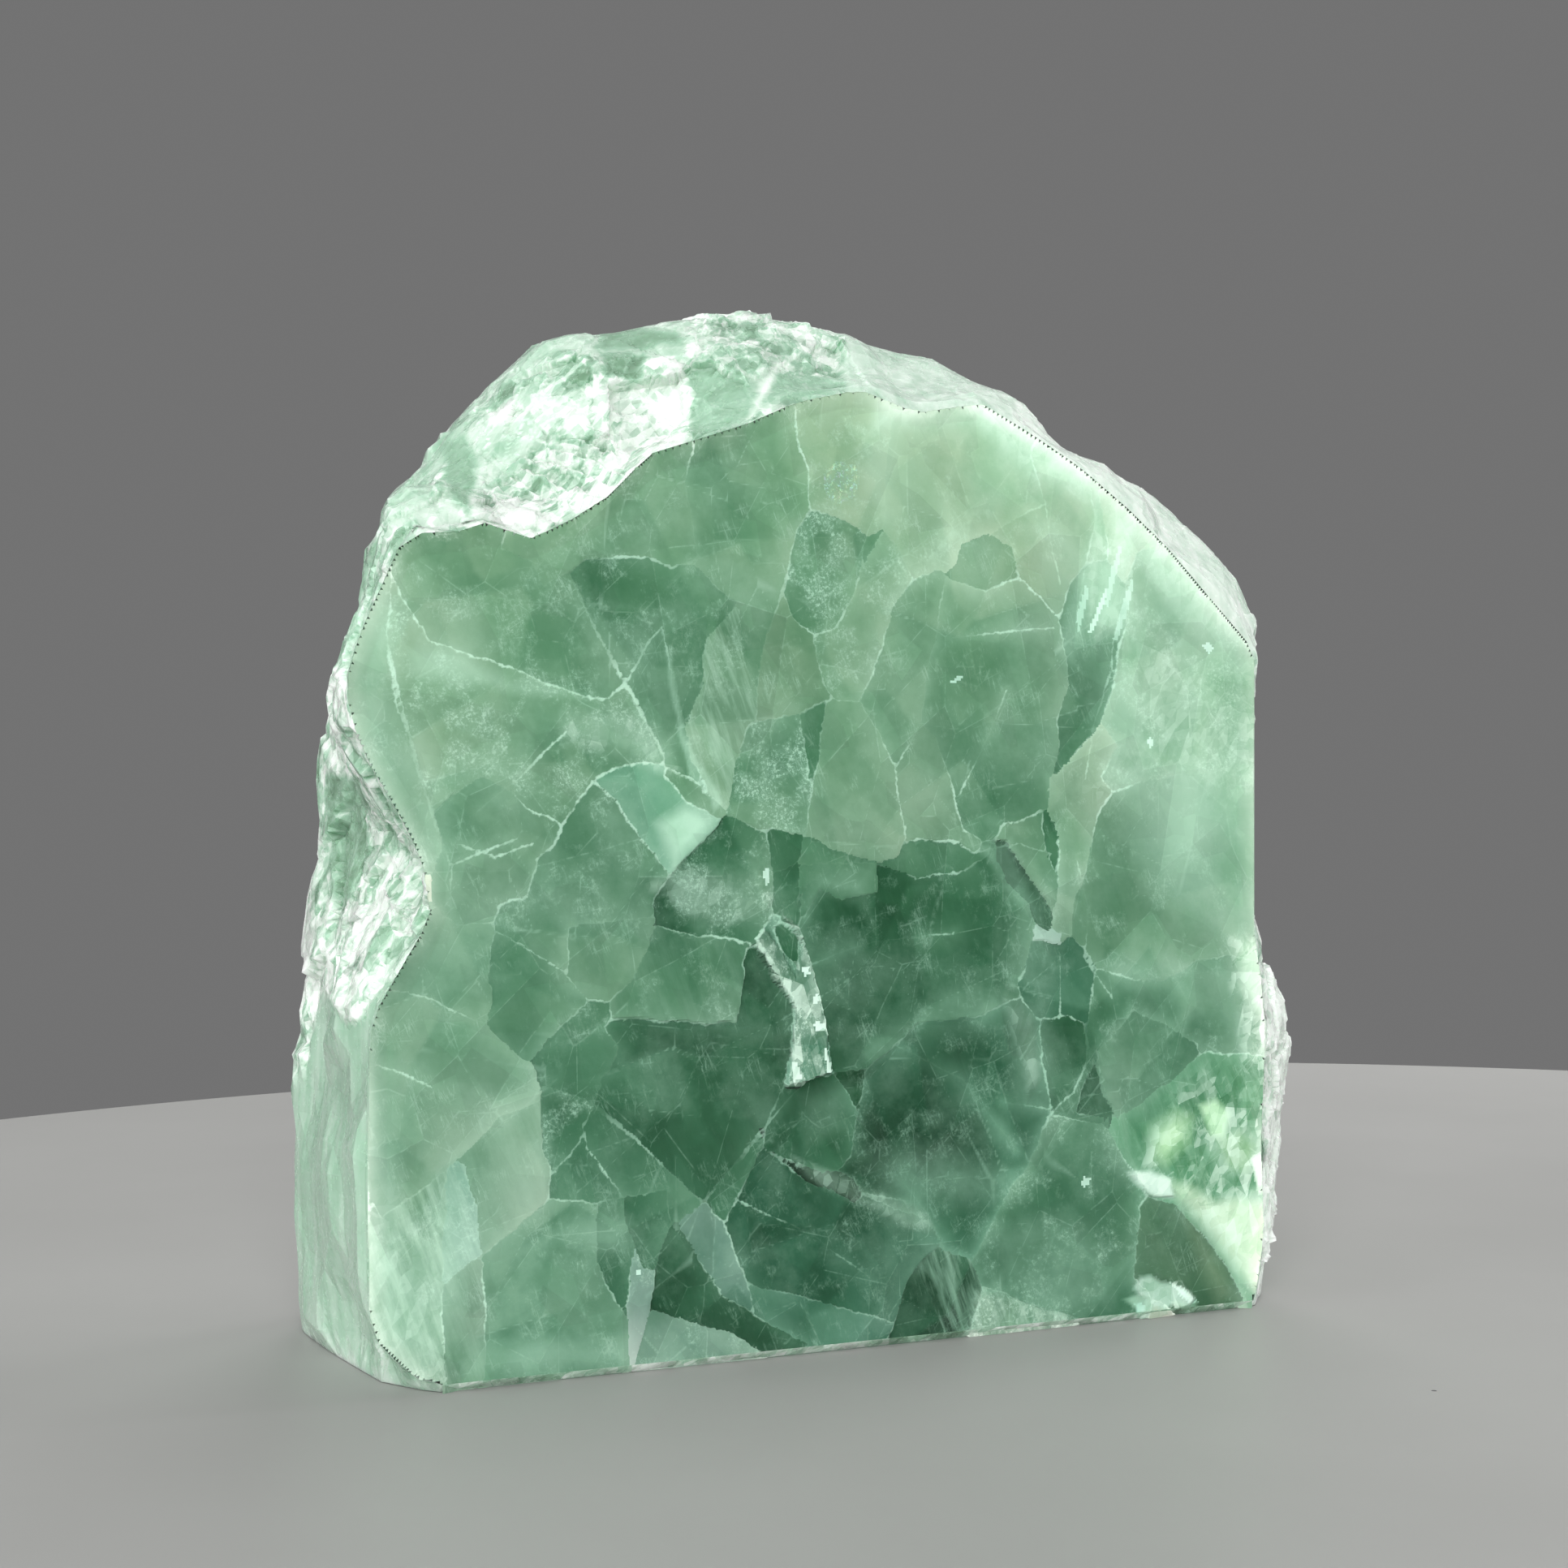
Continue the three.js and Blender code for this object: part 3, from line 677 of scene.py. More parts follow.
    ("upper_strip", 2.5, 4.3, 225, 0.0,
     "985,1070 1040,1062 1081,1065 1083,1101 1040,1110 1012,1096 994,1132 989,1100"),
    ("lens_top", 3.2, 3.5, 300, 0.0,
     "1081,1063 1110,1056 1119,1038 1150,1036 1186,1038 1204,1054 1221,1052 1195,1072 1132,1085 "
     "1119,1070"),
    ("dark_small", 4.3, 4.5, 105, 0.0,
     "947,1027 992,1034 985,1061 963,1074 954,1070"),
    ("bridge", 2.7, 3.4, 90, 0.0,
     "992,1034 1052,1056 1079,1063 985,1065"),
    ("sliver_up", 4.5, 5.3, 45, 0.0,
     "958,1074 985,1068 989,1100 985,1140 967,1137 958,1123 954,1096"),
    ("bright_wedge", 2.6, 4.9, 90, 1.0,
     "936,1159 954,1186 980,1230 985,1253 974,1315 971,1335 1029,1324 1018,1257 1005,1204 989,1150 "
     "958,1128"),
    ("wedge_lens", 4.0, 5.5, 180, 0.0,
     "954,1141 967,1137 987,1159 985,1195 967,1177"),
    ("pale_tri", 2.2, 3.2, 15, 0.0,
     "1239,1016 1288,1000 1286,1025 1293,1056 1308,1079 1306,1096 1300,1123 1275,1092 1248,1047"),
    ("dark_oval", 3.8, 4.2, 180, 0.0,
     "1288,1000 1302,1016 1308,1052 1308,1079 1293,1056 1286,1025"),
    ("dark_strip", 7.1, 8.1, 105, 0.0,
     "1244,1041 1302,1130 1293,1146 1253,1092 1235,1061"),
    ("white_bit", 0.8, 1.3, 90, 0.3,
     "1277,1146 1279,1159 1306,1168 1308,1154"),
    ("right_teal", 4.0, 4.2, 30, 0.0,
     "1279,1159 1311,1168 1338,1168 1351,1204 1346,1239 1342,1279 1320,1253 1297,1257 1288,1257 "
     "1271,1226 1262,1213 1271,1186"),
    ("right_dark", 4.2, 5.5, 150, 0.0,
     "1292,1259 1313,1254 1339,1263 1343,1310 1326,1348 1300,1374 1288,1306"),
    ("right_sliver", 5.5, 5.6, 195, 0.0,
     "1352,1310 1375,1382 1330,1374 1335,1348"),
    ("right_mid", 2.9, 3.6, 60, 0.0,
     "1356,1314 1377,1276 1400,1248 1480,1288 1454,1327 1416,1357 1377,1382"),
    ("pale_band", 1.2, 2.7, 210, 0.3,
     "1297,960 1333,925 1360,893 1380,920 1360,960 1355,1007 1346,1052 1338,1088 1324,1114 "
     "1306,1168 1300,1123 1308,1079 1302,1016 1293,1000"),
    ("mottle", 1.7, 3.2, 195, 0.25,
     "1355,1007 1420,960 1500,950 1545,960 1545,1180 1516,1177 1476,1186 1440,1208 1400,1208 "
     "1360,1195 1338,1168 1324,1114 1338,1088 1346,1052"),
    ("right_upper", 1.6, 2.1, 270, 0.6,
     "1391,768 1420,700 1490,755 1545,795 1545,960 1500,950 1420,960 1360,960 1380,920 1360,893 "
     "1375,844 1382,800"),
    ("right_low", 2.4, 4.4, 195, 0.3,
     "1360,1195 1400,1208 1440,1208 1476,1186 1516,1177 1550,1190 1590,1240 1580,1300 1500,1300 "
     "1480,1288 1400,1248 1377,1276 1346,1293 1342,1279 1346,1239 1351,1204"),
    ("veil", 3.3, 4.5, 330, 0.0,
     "1342,1279 1346,1293 1356,1314 1375,1382 1300,1374 1326,1348 1343,1310 1339,1263"),
]
CRACKS = [
    "704,705 733,769 772,841 797,887 819,930",
    "480,790 500,880 534,1003 559,1068 557,1122",
    "457,1309 503,1325 534,1340",
    "1241,1359 1298,1368",
    "557,1068 600,1048 641,1034",
    "1244,849 1225,900 1186,978",
    "1177,786 1240,778 1302,773",
    "1310,1180 1311,1255",
    "936,1159 954,1186 980,1230",
    "457,1240 455,1400 459,1560 457,1640",
    "660,1040 612,1056 566,1040",
    "870,1482 905,1440 949,1387 1000,1330",
    "735,1365 782,1401 828,1446 870,1482",
    "690,1330 640,1370 600,1410",
    "1000,1190 1080,1160 1180,1150",
    "1110,1290 1190,1330 1260,1420",
    "910,1480 1000,1520 1080,1580",
    "1083,655 1090,620 1104,560 1112,530",
    "1175,662 1170,610 1180,560 1200,520",
    "1345,600 1352,640 1340,700 1330,760 1340,800",
    "1290,620 1300,680 1310,720",
    "1402,700 1380,760 1372,830 1350,900 1340,960",
    "1204,1050 1260,1040 1300,1052",
    "1330,1060 1345,1120 1340,1180 1375,1230",
    "1440,1180 1470,1240 1455,1300",
    "560,760 640,700 700,690",
    "590,1000 640,960 700,900",
    "1120,1460 1150,1500 1170,1545",
    "985,1437 1060,1470 1130,1482",
]
print(len(GRAINS), "grains")

# %% [markdown]
# ## A map of the window
# The outlines were typed one by one, so neighbours overlap or leave slits. A map cures that: every
# place on a fine grid gets the number of the grain that holds it, and a slit is given to the
# nearest grain. The nearest grain could be found by measuring to all of them, but jump flooding is
# far quicker: each place asks places 512 steps away for their nearest seed, then 256, then 128,
# down to 1. The map is then read through a slight ripple, so straight outlines look like rock.

# %% Grid and its nearest seeds
STEP = 0.125  # mm between map places
MAP_X = np.arange(-55.6, 48.0, STEP)
MAP_Z = np.arange(0.0, 98.4, STEP)
MAP_START = (MAP_X[0], MAP_Z[0])
SLIT = 2.2  # mm from the nearest grain at which a place stops belonging to it
RIPPLE, RIPPLE_SIZE = 0.34, 2.4  # mm
map_points = np.stack(np.meshgrid(MAP_X, MAP_Z, indexing="ij"), axis=-1)


def holds(outline, points):
    """True inside an outline: a line drawn to the right crosses it an odd number of times."""
    inside = np.zeros(points.shape[:-1], bool)
    x, z = points[..., 0], points[..., 1]
    for (x0, z0), (x1, z1) in zip(outline, np.roll(outline, -1, axis=0)):
        if z0 != z1:
            inside ^= ((z0 > z) != (z1 > z)) & (x < (x1 - x0) * (z - z0) / (z1 - z0) + x0)
    return inside


def box_on_map(outline):
    """The part of the map that an outline can reach."""
    low = np.floor((outline.min(axis=0) - MAP_START) / STEP).astype(int)
    high = np.ceil((outline.max(axis=0) - MAP_START) / STEP).astype(int) + 1
    return tuple(slice(max(a, 0), max(b, 0)) for a, b in zip(low, high))


FIRST_JUMP = 512  # places
FAR_OFF = -20000  # row or column of a seed that isn't known yet


def nearest_seed(seeds):
    """For every place, the row and column of the nearest seed, by jump flooding."""
    row, column = np.indices(seeds.shape, dtype=np.int32)
    near_row = np.where(seeds, row, FAR_OFF).astype(np.int32)
    near_column = np.where(seeds, column, FAR_OFF).astype(np.int32)
    best = (near_row - row) ** 2.0 + (near_column - column) ** 2.0
    jump = FIRST_JUMP
    while jump:
        for dr, dc in product((-jump, 0, jump), repeat=2):
            here = tuple(slice(max(-d, 0), n - max(d, 0)) for d, n in zip((dr, dc), seeds.shape))
            there = tuple(slice(max(d, 0), n - max(-d, 0)) for d, n in zip((dr, dc), seeds.shape))
            their_row, their_column = near_row[there], near_column[there]
            apart = (their_row - row[here]) ** 2.0 + (their_column - column[here]) ** 2.0
            closer = apart < best[here]
            best[here] = np.where(closer, apart, best[here])
            near_row[here] = np.where(closer, their_row, near_row[here])
            near_column[here] = np.where(closer, their_column, near_column[here])
        jump //= 2
    return near_row, near_column, np.sqrt(best) * STEP


print("the map has", map_points[..., 0].size, "places")

# %% Map of the grains
outlines = [read_outline(words) for *_, words in GRAINS]
spans = [np.ptp(outline, axis=0).prod() for outline in outlines]
grain_map = np.zeros(map_points.shape[:2], np.int32)
for number in np.argsort(spans)[::-1]:
    patch = box_on_map(outlines[number])
    grain_map[patch] = np.where(holds(outlines[number], map_points[patch]), number + 1, grain_map[patch])
row, column, gap = nearest_seed(grain_map > 0)
grain_map = np.where(gap < SLIT, grain_map[row, column], 0)
ripple = np.stack([clouds(map_points, RIPPLE_SIZE, salt, 4) for salt in (3, 9)], axis=-1) * RIPPLE / STEP
row, column = np.indices(grain_map.shape)
row = np.clip(row + ripple[..., 0], 0, len(MAP_X) - 1).astype(int)
column = np.clip(column + ripple[..., 1], 0, len(MAP_Z) - 1).astype(int)
grain_map = grain_map[row, column]
print("map", grain_map.shape, "with", len(np.unique(grain_map)), "kinds of place")

# %% [markdown]
# ## The polished window's border
# The grains stop where the polish stops. The border is not typed again: it is read from the packed
# stone, as the edges that only one triangle of the polished plane uses, joined end to end.

# %% Border of the polish
stone_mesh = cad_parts["fluorite_stone"].data
loose = np.empty(len(stone_mesh.vertices) * 3)
stone_mesh.vertices.foreach_get("co", loose)
corners = np.empty(len(stone_mesh.loops), np.int32)
stone_mesh.loops.foreach_get("vertex_index", corners)
points, merged = np.unique((loose.reshape(-1, 3) / MM).round(3), axis=0, return_inverse=True)
triangles = merged.ravel()[corners].reshape(-1, 3)
triangles = triangles[(triangles != np.roll(triangles, 1, axis=1)).all(axis=1)]
print("merged stone:", len(points), "points,", len(triangles), "triangles")

FOOT_STRIP = 1.2  # mm above the foot, where the cracks run on down to the edge
on_plane = (points[triangles, 1] < FACE_Y + 0.01).all(axis=1)
sides = triangles[on_plane][:, [[0, 1], [1, 2], [2, 0]]].reshape(-1, 2)
once = {tuple(s) for s in sides.tolist()} - {tuple(s[::-1]) for s in sides.tolist()}
following = dict(once)
walk = [next(iter(following))]
while following[walk[-1]] != walk[0]:
    walk.append(following[walk[-1]])
border = points[walk][:, [0, 2]]
window = holds(border, map_points)
foot_run = border[border[:, 1] < FOOT_STRIP, 0]
over_foot = (map_points[..., 0] > foot_run.min()) & (map_points[..., 0] < foot_run.max())
window |= over_foot & (map_points[..., 1] < FOOT_STRIP)
rim_row, rim_column, to_border = nearest_seed(~window)
print("border of", len(border), "points;", round(window.sum() * STEP**2 / 100, 1), "cm2 of polish")

# %% [markdown]
# ## Depths of the cracks
# Each grain has a greenness in mm that slopes evenly from its pale side to its dark side. The
# surface itself follows it only a little, half a millimetre to one and a half behind the polish,
# so that the seams shift slightly as the eye moves but cast no steep walls. Near the border of the
# polish nothing goes deep, so that no crack breaks out through the skin.
#
# A grain is never one even tone, because healed cracks cross it as large flat flakes. These ghost
# planes could be drawn by hand too, but there are hundreds. Scattered seeds give them instead: the
# nearest seed owns a place, and each owner makes its flake slightly deeper or shallower.

# %% Ghost planes
def smoothed(values, rounds):
    """Each place that isn't on the map's edge takes the mean of its four neighbours, in rounds."""
    for _ in range(rounds):
        beside = values[:-2, 1:-1] + values[2:, 1:-1] + values[1:-1, :-2] + values[1:-1, 2:]
        values[1:-1, 1:-1] = beside / 4
    return values


def ghost_planes(points):
    """Large flat flakes that overlap: the plane is cut twice into cells by nearest seed, along two
    slants. Each cell multiplies the depth by its own even slope, and the distance to the nearest
    cell wall, half the gap between the two nearest seeds, is kept for hairlines."""
    factor, wall = 1.0, np.inf
    for salt, size, turn, pull_out in ((101, 9.0, 0.5, 1.9), (131, 13.0, -0.9, 1.5)):
        spin = np.array([[np.cos(turn), -np.sin(turn)], [np.sin(turn), np.cos(turn)]])
        place = points @ spin * (pull_out, 1.0)
        cell = np.floor(place / size)
        first = np.full(points.shape[:-1], 1e9)
        second = first.copy()
        ours = np.zeros(points.shape[:-1] + (2,))
        offset = ours.copy()
        for step in product((-2, -1, 0, 1, 2), repeat=2):
            there = cell + step
            seed = np.stack([chance(there, salt), chance(there, salt + 1)], axis=-1)
            away = place - (there + seed) * size
            apart = np.hypot(away[..., 0], away[..., 1])
            second = np.minimum(second, np.maximum(apart, first))
            closer = apart < first
            first = np.where(closer, apart, first)
            ours = np.where(closer[..., None], there, ours)
            offset = np.where(closer[..., None], away, offset)
        level = 0.15 * (chance(ours, salt + 2) - 0.5)
        tilt = 0.03 * (np.stack([chance(ours, salt + 3), chance(ours, salt + 4)], axis=-1) - 0.5)
        factor = factor * (1 + level + (tilt * offset).sum(axis=-1))
        wall = np.minimum(wall, (second - first) / 2)
    return np.clip(smoothed(factor, 3), 0.6, 1.4), wall


shard, between = ghost_planes(map_points)
print("ghost planes change the depth by a factor of", shard.min().round(2), "to", shard.max().round(2))


# %% Greenness and cracks on the map
FRINGE = (0.3, 0.8, 0)  # shallow, deep and direction of the milky fringe outside every grain
table = np.array([FRINGE] + [g[1:4] for g in GRAINS], float)
frost_of = np.array([0.5] + [g[4] for g in GRAINS])
heading = np.radians(table[:, 2])
middles = np.array([[0.0, 50.0]] + [o.mean(axis=0) for o in outlines])
pull = np.stack([np.cos(heading), np.sin(heading)], axis=1)
reach = [np.abs((o - m) @ p).max() for o, m, p in zip(outlines, middles[1:], pull[1:])]
reach = np.array([60.0] + reach)

along = ((map_points - middles[grain_map]) * pull[grain_map]).sum(axis=-1) / reach[grain_map]
shallow, deep = table[grain_map, 0], table[grain_map, 1]
floor = shallow + (deep - shallow) * np.clip(along * 0.5 + 0.5, 0, 1)

edge = np.zeros(grain_map.shape, bool)
edge[:-1] |= grain_map[:-1] != grain_map[1:]
edge[:, :-1] |= grain_map[:, :-1] != grain_map[:, 1:]
for words in CRACKS:
    path = read_outline(words)
    legs = [a + (b - a) * np.linspace(0, 1, 200)[:, None] for a, b in zip(path, path[1:])]
    run = np.concatenate(legs)
    run = run + 0.15 * np.stack([clouds(run, 2.0, salt, 3) for salt in (91, 97)], axis=-1)
    at = ((run - MAP_START) / STEP).astype(int)
    edge[tuple(at.T)] = True
row, column, to_edge = nearest_seed(edge)
print("cracks cross", edge.sum(), "places")

# %% Relief behind the polish
NEAREST, FURTHEST = 0.45, 1.5  # mm behind the polish
AT_BORDER, BORDER_SLOPE = 0.03, 0.4  # mm, and mm for each mm away from the border
BRUISE_REACH = 1.3  # mm that the pale bruise beside a crack spreads

opening = np.clip(0.5 + clouds(map_points, 7.0, 41, 3), 0.0, 1.0)
halo = np.clip(0.6 + 1.5 * clouds(map_points, 8.0, 45, 2), 0, 1) * np.exp(-to_edge / BRUISE_REACH)
soft = shard * (1 + 0.16 * clouds(map_points, 5.0, 21, 5))
relief = smoothed(np.clip(NEAREST + 0.16 * floor * soft, NEAREST, FURTHEST), 4)
depth = np.minimum(relief, AT_BORDER + BORDER_SLOPE * to_border)
print("depths run", depth[window].min().round(2), "to", depth[window].max().round(1), "mm")

# %% [markdown]
# ## The landscape as a mesh
# Every second place of the map becomes a point of the mesh. Points beside a seam are moved onto
# it, which keeps the seams crisp without a finer mesh. Points beside the border are moved onto the
# border in the same way, so the landscape ends exactly where the polish does.

# %% Places of the mesh points
SEAM_PULL, BORDER_PULL = 0.17, 0.26  # mm from which points are moved

row_mm = MAP_X[row] + STEP / 2
column_mm = MAP_Z[column] + STEP / 2
snap = (to_edge < SEAM_PULL) & (to_border > 0.4)
spots = np.where(snap[..., None], np.stack([row_mm, column_mm], axis=-1), map_points)
on_rim = (to_border < BORDER_PULL) & (map_points[..., 1] > 1.5)
rim_spots = np.stack([MAP_X[rim_row], MAP_Z[rim_column]], axis=-1)
spots = np.where(on_rim[..., None], rim_spots, spots)
spot_depth = np.where(on_rim, AT_BORDER, depth)

coarse = (slice(None, None, 2), slice(None, None, 2))
in_window = window[coarse]
quad = in_window[:-1, :-1] & in_window[1:, :-1] & in_window[1:, 1:] & in_window[:-1, 1:]
numbers = np.arange(in_window.size).reshape(in_window.shape)
cells = np.stack([numbers[:-1, :-1], numbers[1:, :-1], numbers[1:, 1:], numbers[:-1, 1:]], axis=-1)
flat_spots = spots[coarse].reshape(-1, 2)
print(quad.sum(), "faces behind the window")

# %% [markdown]
# ## Veils and splinters
# In front of the grains hang veils: healed cracks so thin that they only whiten what lies behind. They
# cross the grains as they like. Each one is an outline with its whiteness and the distance over which its
# edge fades in. A few small, bright veils are painted glints instead. Splinters are written the same way.
# They mark where the crystal is shattered, as in the wedge near the middle and in the right corner, and
# there the cracks are painted with bright highlights and dark slivers of shade. Shattered crystal comes
# up close to the polish, so that less green lies over it and it looks white.

# %% Veils, and a few painted glints: whiteness, fade in mm, outline
VEILS_AND_GLINTS = [
    (0.70, 6.0,
     "900,300 1300,340 1500,440 1720,700 1720,850 1470,790 1400,690 1300,640 1180,560 1080,540"),
    (0.40, 6.0, "1100,540 1400,640 1680,800 1680,1180 1440,1180 1360,1000 1330,860 1250,640"),
    (0.30, 2.0, "690,875 760,862 835,900 850,960 800,955 740,930 690,925"),
    (0.30, 1.5, "500,795 560,790 640,835 740,852 730,868 640,860 560,850 505,840"),
    (0.45, 0.4, "822,800 830,800 846,900 862,935 895,990 886,1004 850,952 836,900"),
    (0.28, 2.5, "1000,1062 1083,1064 1088,1165 1060,1120 1020,1110 990,1160 985,1100"),
    (0.16, 4.0, "1085,1240 1180,1205 1260,1215 1280,1270 1200,1295 1100,1305 1040,1330"),
    (0.22, 3.0, "1050,1420 1120,1395 1200,1415 1262,1440 1250,1490 1180,1505 1090,1480"),
    (0.16, 0.8,
     "972,1422 1040,1446 1078,1466 1124,1478 1154,1503 1168,1532 1120,1515 1050,1487 1000,1460"),
    (0.25, 3.0, "1230,1230 1300,1220 1320,1330 1290,1390 1240,1350"),
    (0.30, 1.2, "1194,1040 1250,1028 1290,1120 1296,1155 1262,1120 1230,1080"),
    (0.22, 2.5, "820,1065 940,1070 945,1150 860,1150 826,1110"),
    (0.20, 3.0, "1320,1170 1560,1160 1560,1330 1470,1260 1380,1230"),
    (0.25, 2.0, "620,1555 700,1500 790,1490 780,1560 690,1540"),
    (0.25, 2.0, "560,1640 790,1640 785,1690 560,1712"),
    (0.35, 3.0, "400,1330 520,1480 560,1430 600,1560 545,1760 400,1720"),
    (0.30, 3.0, "390,1130 480,1160 500,1400 520,1560 540,1780 390,1780"),
    (0.35, 3.0, "400,640 500,640 510,760 500,900 560,1060 530,1150 440,1180 400,1000"),
    (0.22, 2.5, "978,1340 1060,1325 1060,1400 990,1430"),
    # The next two are painted glints: thin upright streaks of light in the upper right.
    (0.45, 0.8, "1345,655 1353,600 1363,602 1366,660 1352,765 1342,760"),
    (0.35, 0.6, "1378,700 1392,640 1401,652 1388,730"),
    (0.30, 1.0, "1305,800 1330,700 1345,640 1350,720 1330,830"),
    (0.25, 2.0, "1040,520 1085,500 1120,540 1095,650 1060,600"),
    (0.22, 2.0, "1180,560 1250,540 1270,600 1230,650 1190,640"),
    (0.30, 1.5, "1370,900 1430,900 1440,960 1390,985 1350,960"),
    (0.25, 3.0, "1420,960 1540,900 1545,1060 1450,1050"),
    (0.80, 1.5, "800,1015 850,982 892,1008 868,1044 832,1082"),
    (0.80, 0.5,
     "1394,1447 1403,1440 1418,1450 1436,1462 1450,1472 1481,1485 1455,1484 1424,1474 "
     "1408,1466"),
    # The next two are painted glints at the foot of the lower right corner.
    (0.80, 0.4, "1424,1588 1446,1592 1482,1609 1462,1618 1436,1606"),
    (0.70, 0.5, "1385,1600 1410,1590 1425,1606 1400,1616"),
    (0.60, 2.0, "1500,1470 1572,1450 1580,1560 1540,1590 1505,1530"),
    (0.45, 1.5, "1480,1400 1560,1380 1572,1440 1500,1460"),
    (0.40, 0.8, "1440,1440 1480,1465 1530,1560 1545,1600 1500,1545 1460,1490"),
    (0.18, 3.0, "1210,1500 1330,1480 1400,1560 1380,1625 1230,1640"),
]


# %% Splinters, where highlights and shade are painted: strength, fade in mm, outline
SHATTER_AND_GLINTS = [
    (0.8, 0.15,
     "960,1120 988,1147 1003,1193 1017,1253 1030,1325 1010,1330 967,1343 977,1317 982,1250 "
     "967,1220 950,1187 928,1163 943,1143 950,1147 967,1173 985,1207 991,1170"),
    (0.8, 2.5,
     "1394,1442 1420,1380 1454,1327 1500,1300 1570,1300 1590,1400 1590,1500 1590,1620 "
     "1535,1625 1527,1583 1488,1524 1450,1485"),
    (0.8, 1.5, "1505,1140 1590,1140 1590,1380 1540,1380 1530,1300 1515,1220"),
    (0.8, 0.4, "1390,1445 1420,1442 1445,1450 1450,1480 1420,1475 1400,1460"),
    (0.9, 0.5,
     "1400,1570 1430,1570 1460,1580 1480,1600 1470,1610 1430,1630 1405,1640 1410,1605 "
     "1397,1590"),
    (0.6, 0.6, "1205,1590 1250,1598 1290,1612 1340,1625 1335,1650 1190,1665"),
    (0.4, 0.6,
     "972,1422 1040,1446 1078,1466 1124,1478 1154,1503 1168,1532 1120,1515 1050,1487 1000,1460"),
    (0.4, 1.0, "1230,1200 1262,1215 1285,1260 1290,1330 1270,1370 1255,1290"),
    (0.35, 1.0, "1345,655 1353,600 1363,602 1366,660 1352,765 1342,760"),
    (0.45, 3.0,
     "1100,380 1500,430 1700,700 1700,830 1545,812 1480,795 1430,740 1395,700 1345,690 "
     "1350,625 1270,600 1200,530 1067,540"),
    (0.35, 1.5, "1325,700 1352,640 1378,655 1405,690 1415,760 1400,805 1372,795 1350,805 1332,760"),
    (0.4, 4.0,
     "1400,740 1480,790 1700,830 1700,1010 1500,990 1400,970 1370,1010 1300,990 1380,900 "
     "1395,820"),
    (0.3, 1.0, "690,875 760,862 835,900 850,960 800,955 740,930 690,925"),
    (0.35, 3.0, "380,1440 560,1440 580,1700 540,1760 380,1740"),
    (0.5, 0.5, "936,1062 948,1064 955,1110 944,1130 936,1100"),
    (0.3, 1.0, "785,1090 840,1060 940,1070 945,1130 880,1150 830,1120"),
]
print(len(VEILS_AND_GLINTS), "veils and", len(SHATTER_AND_GLINTS), "splintered places")


# %% Sheets hung on the map
def to_outline(outline, points):
    """Distance from each point to the nearest side of an outline: the foot of the point on the
    side is kept between the side's two ends."""
    best = np.full(points.shape[:-1], 1e9)
    for start, end in zip(outline, np.roll(outline, -1, axis=0)):
        side = end - start
        share = np.clip(((points - start) @ side) / max(side @ side, 1e-9), 0, 1)
        best = np.minimum(best, np.linalg.norm(points - start - share[..., None] * side, axis=-1))
    return best


RAGGED = 0.5  # mm that an edge wanders
ragged = np.stack([clouds(map_points, 3.0, salt, 4) for salt in (61, 67)], axis=-1)
ragged = map_points + RAGGED * ragged


def hung(sheets):
    """How much of each place is hidden by sheets that overlap, each fading in from its own edge."""
    covered = np.zeros(grain_map.shape)
    for amount, fade_mm, words in sheets:
        outline = read_outline(words)
        patch = box_on_map(outline + np.sign(outline - outline.mean(axis=0)))
        inside = holds(outline, ragged[patch])
        share = np.where(inside, np.clip(to_outline(outline, ragged[patch]) / fade_mm, 0, 1), 0) * amount
        covered[patch] = covered[patch] + (1 - covered[patch]) * share
    return covered


COMES_UP = 0.7  # share of its depth that a fully shattered place loses
veil, shatter_and_glint = hung(VEILS_AND_GLINTS), hung(SHATTER_AND_GLINTS)
spot_depth = spot_depth * (1 - COMES_UP * shatter_and_glint)
where = np.stack([flat_spots[:, 0], FACE_Y + spot_depth[coarse].ravel(), flat_spots[:, 1]], axis=-1)
print("veils cover", round((veil[window] > 0.05).mean() * 100), "percent of the window")

# %% [markdown]
# ## How green each place is
# The greenness belongs to a face, not to a point, so that the tone jumps where one grain ends and
# the next begins. Each corner of a face asks for the depth at its own place in the face's grain.
# The surface stands only about a millimetre behind the polish, so the rest of that depth is worked out by
# the same law of absorption: the colour falls by e to the minus absorption times the way down and back. A
# few grains have their own tint, where rust or milk is sealed in. The grain named glow gets a paler,
# yellower tint as painted light, as if light shone through it from behind.
#
# The list below holds painted highlights, where small faces would catch the light, and a painted glow in
# the milky lower right corner. It also holds milky patches, darker spots and one black speck. Each has a
# colour, a fade and an outline, and a fade of nothing leaves its edge hard.

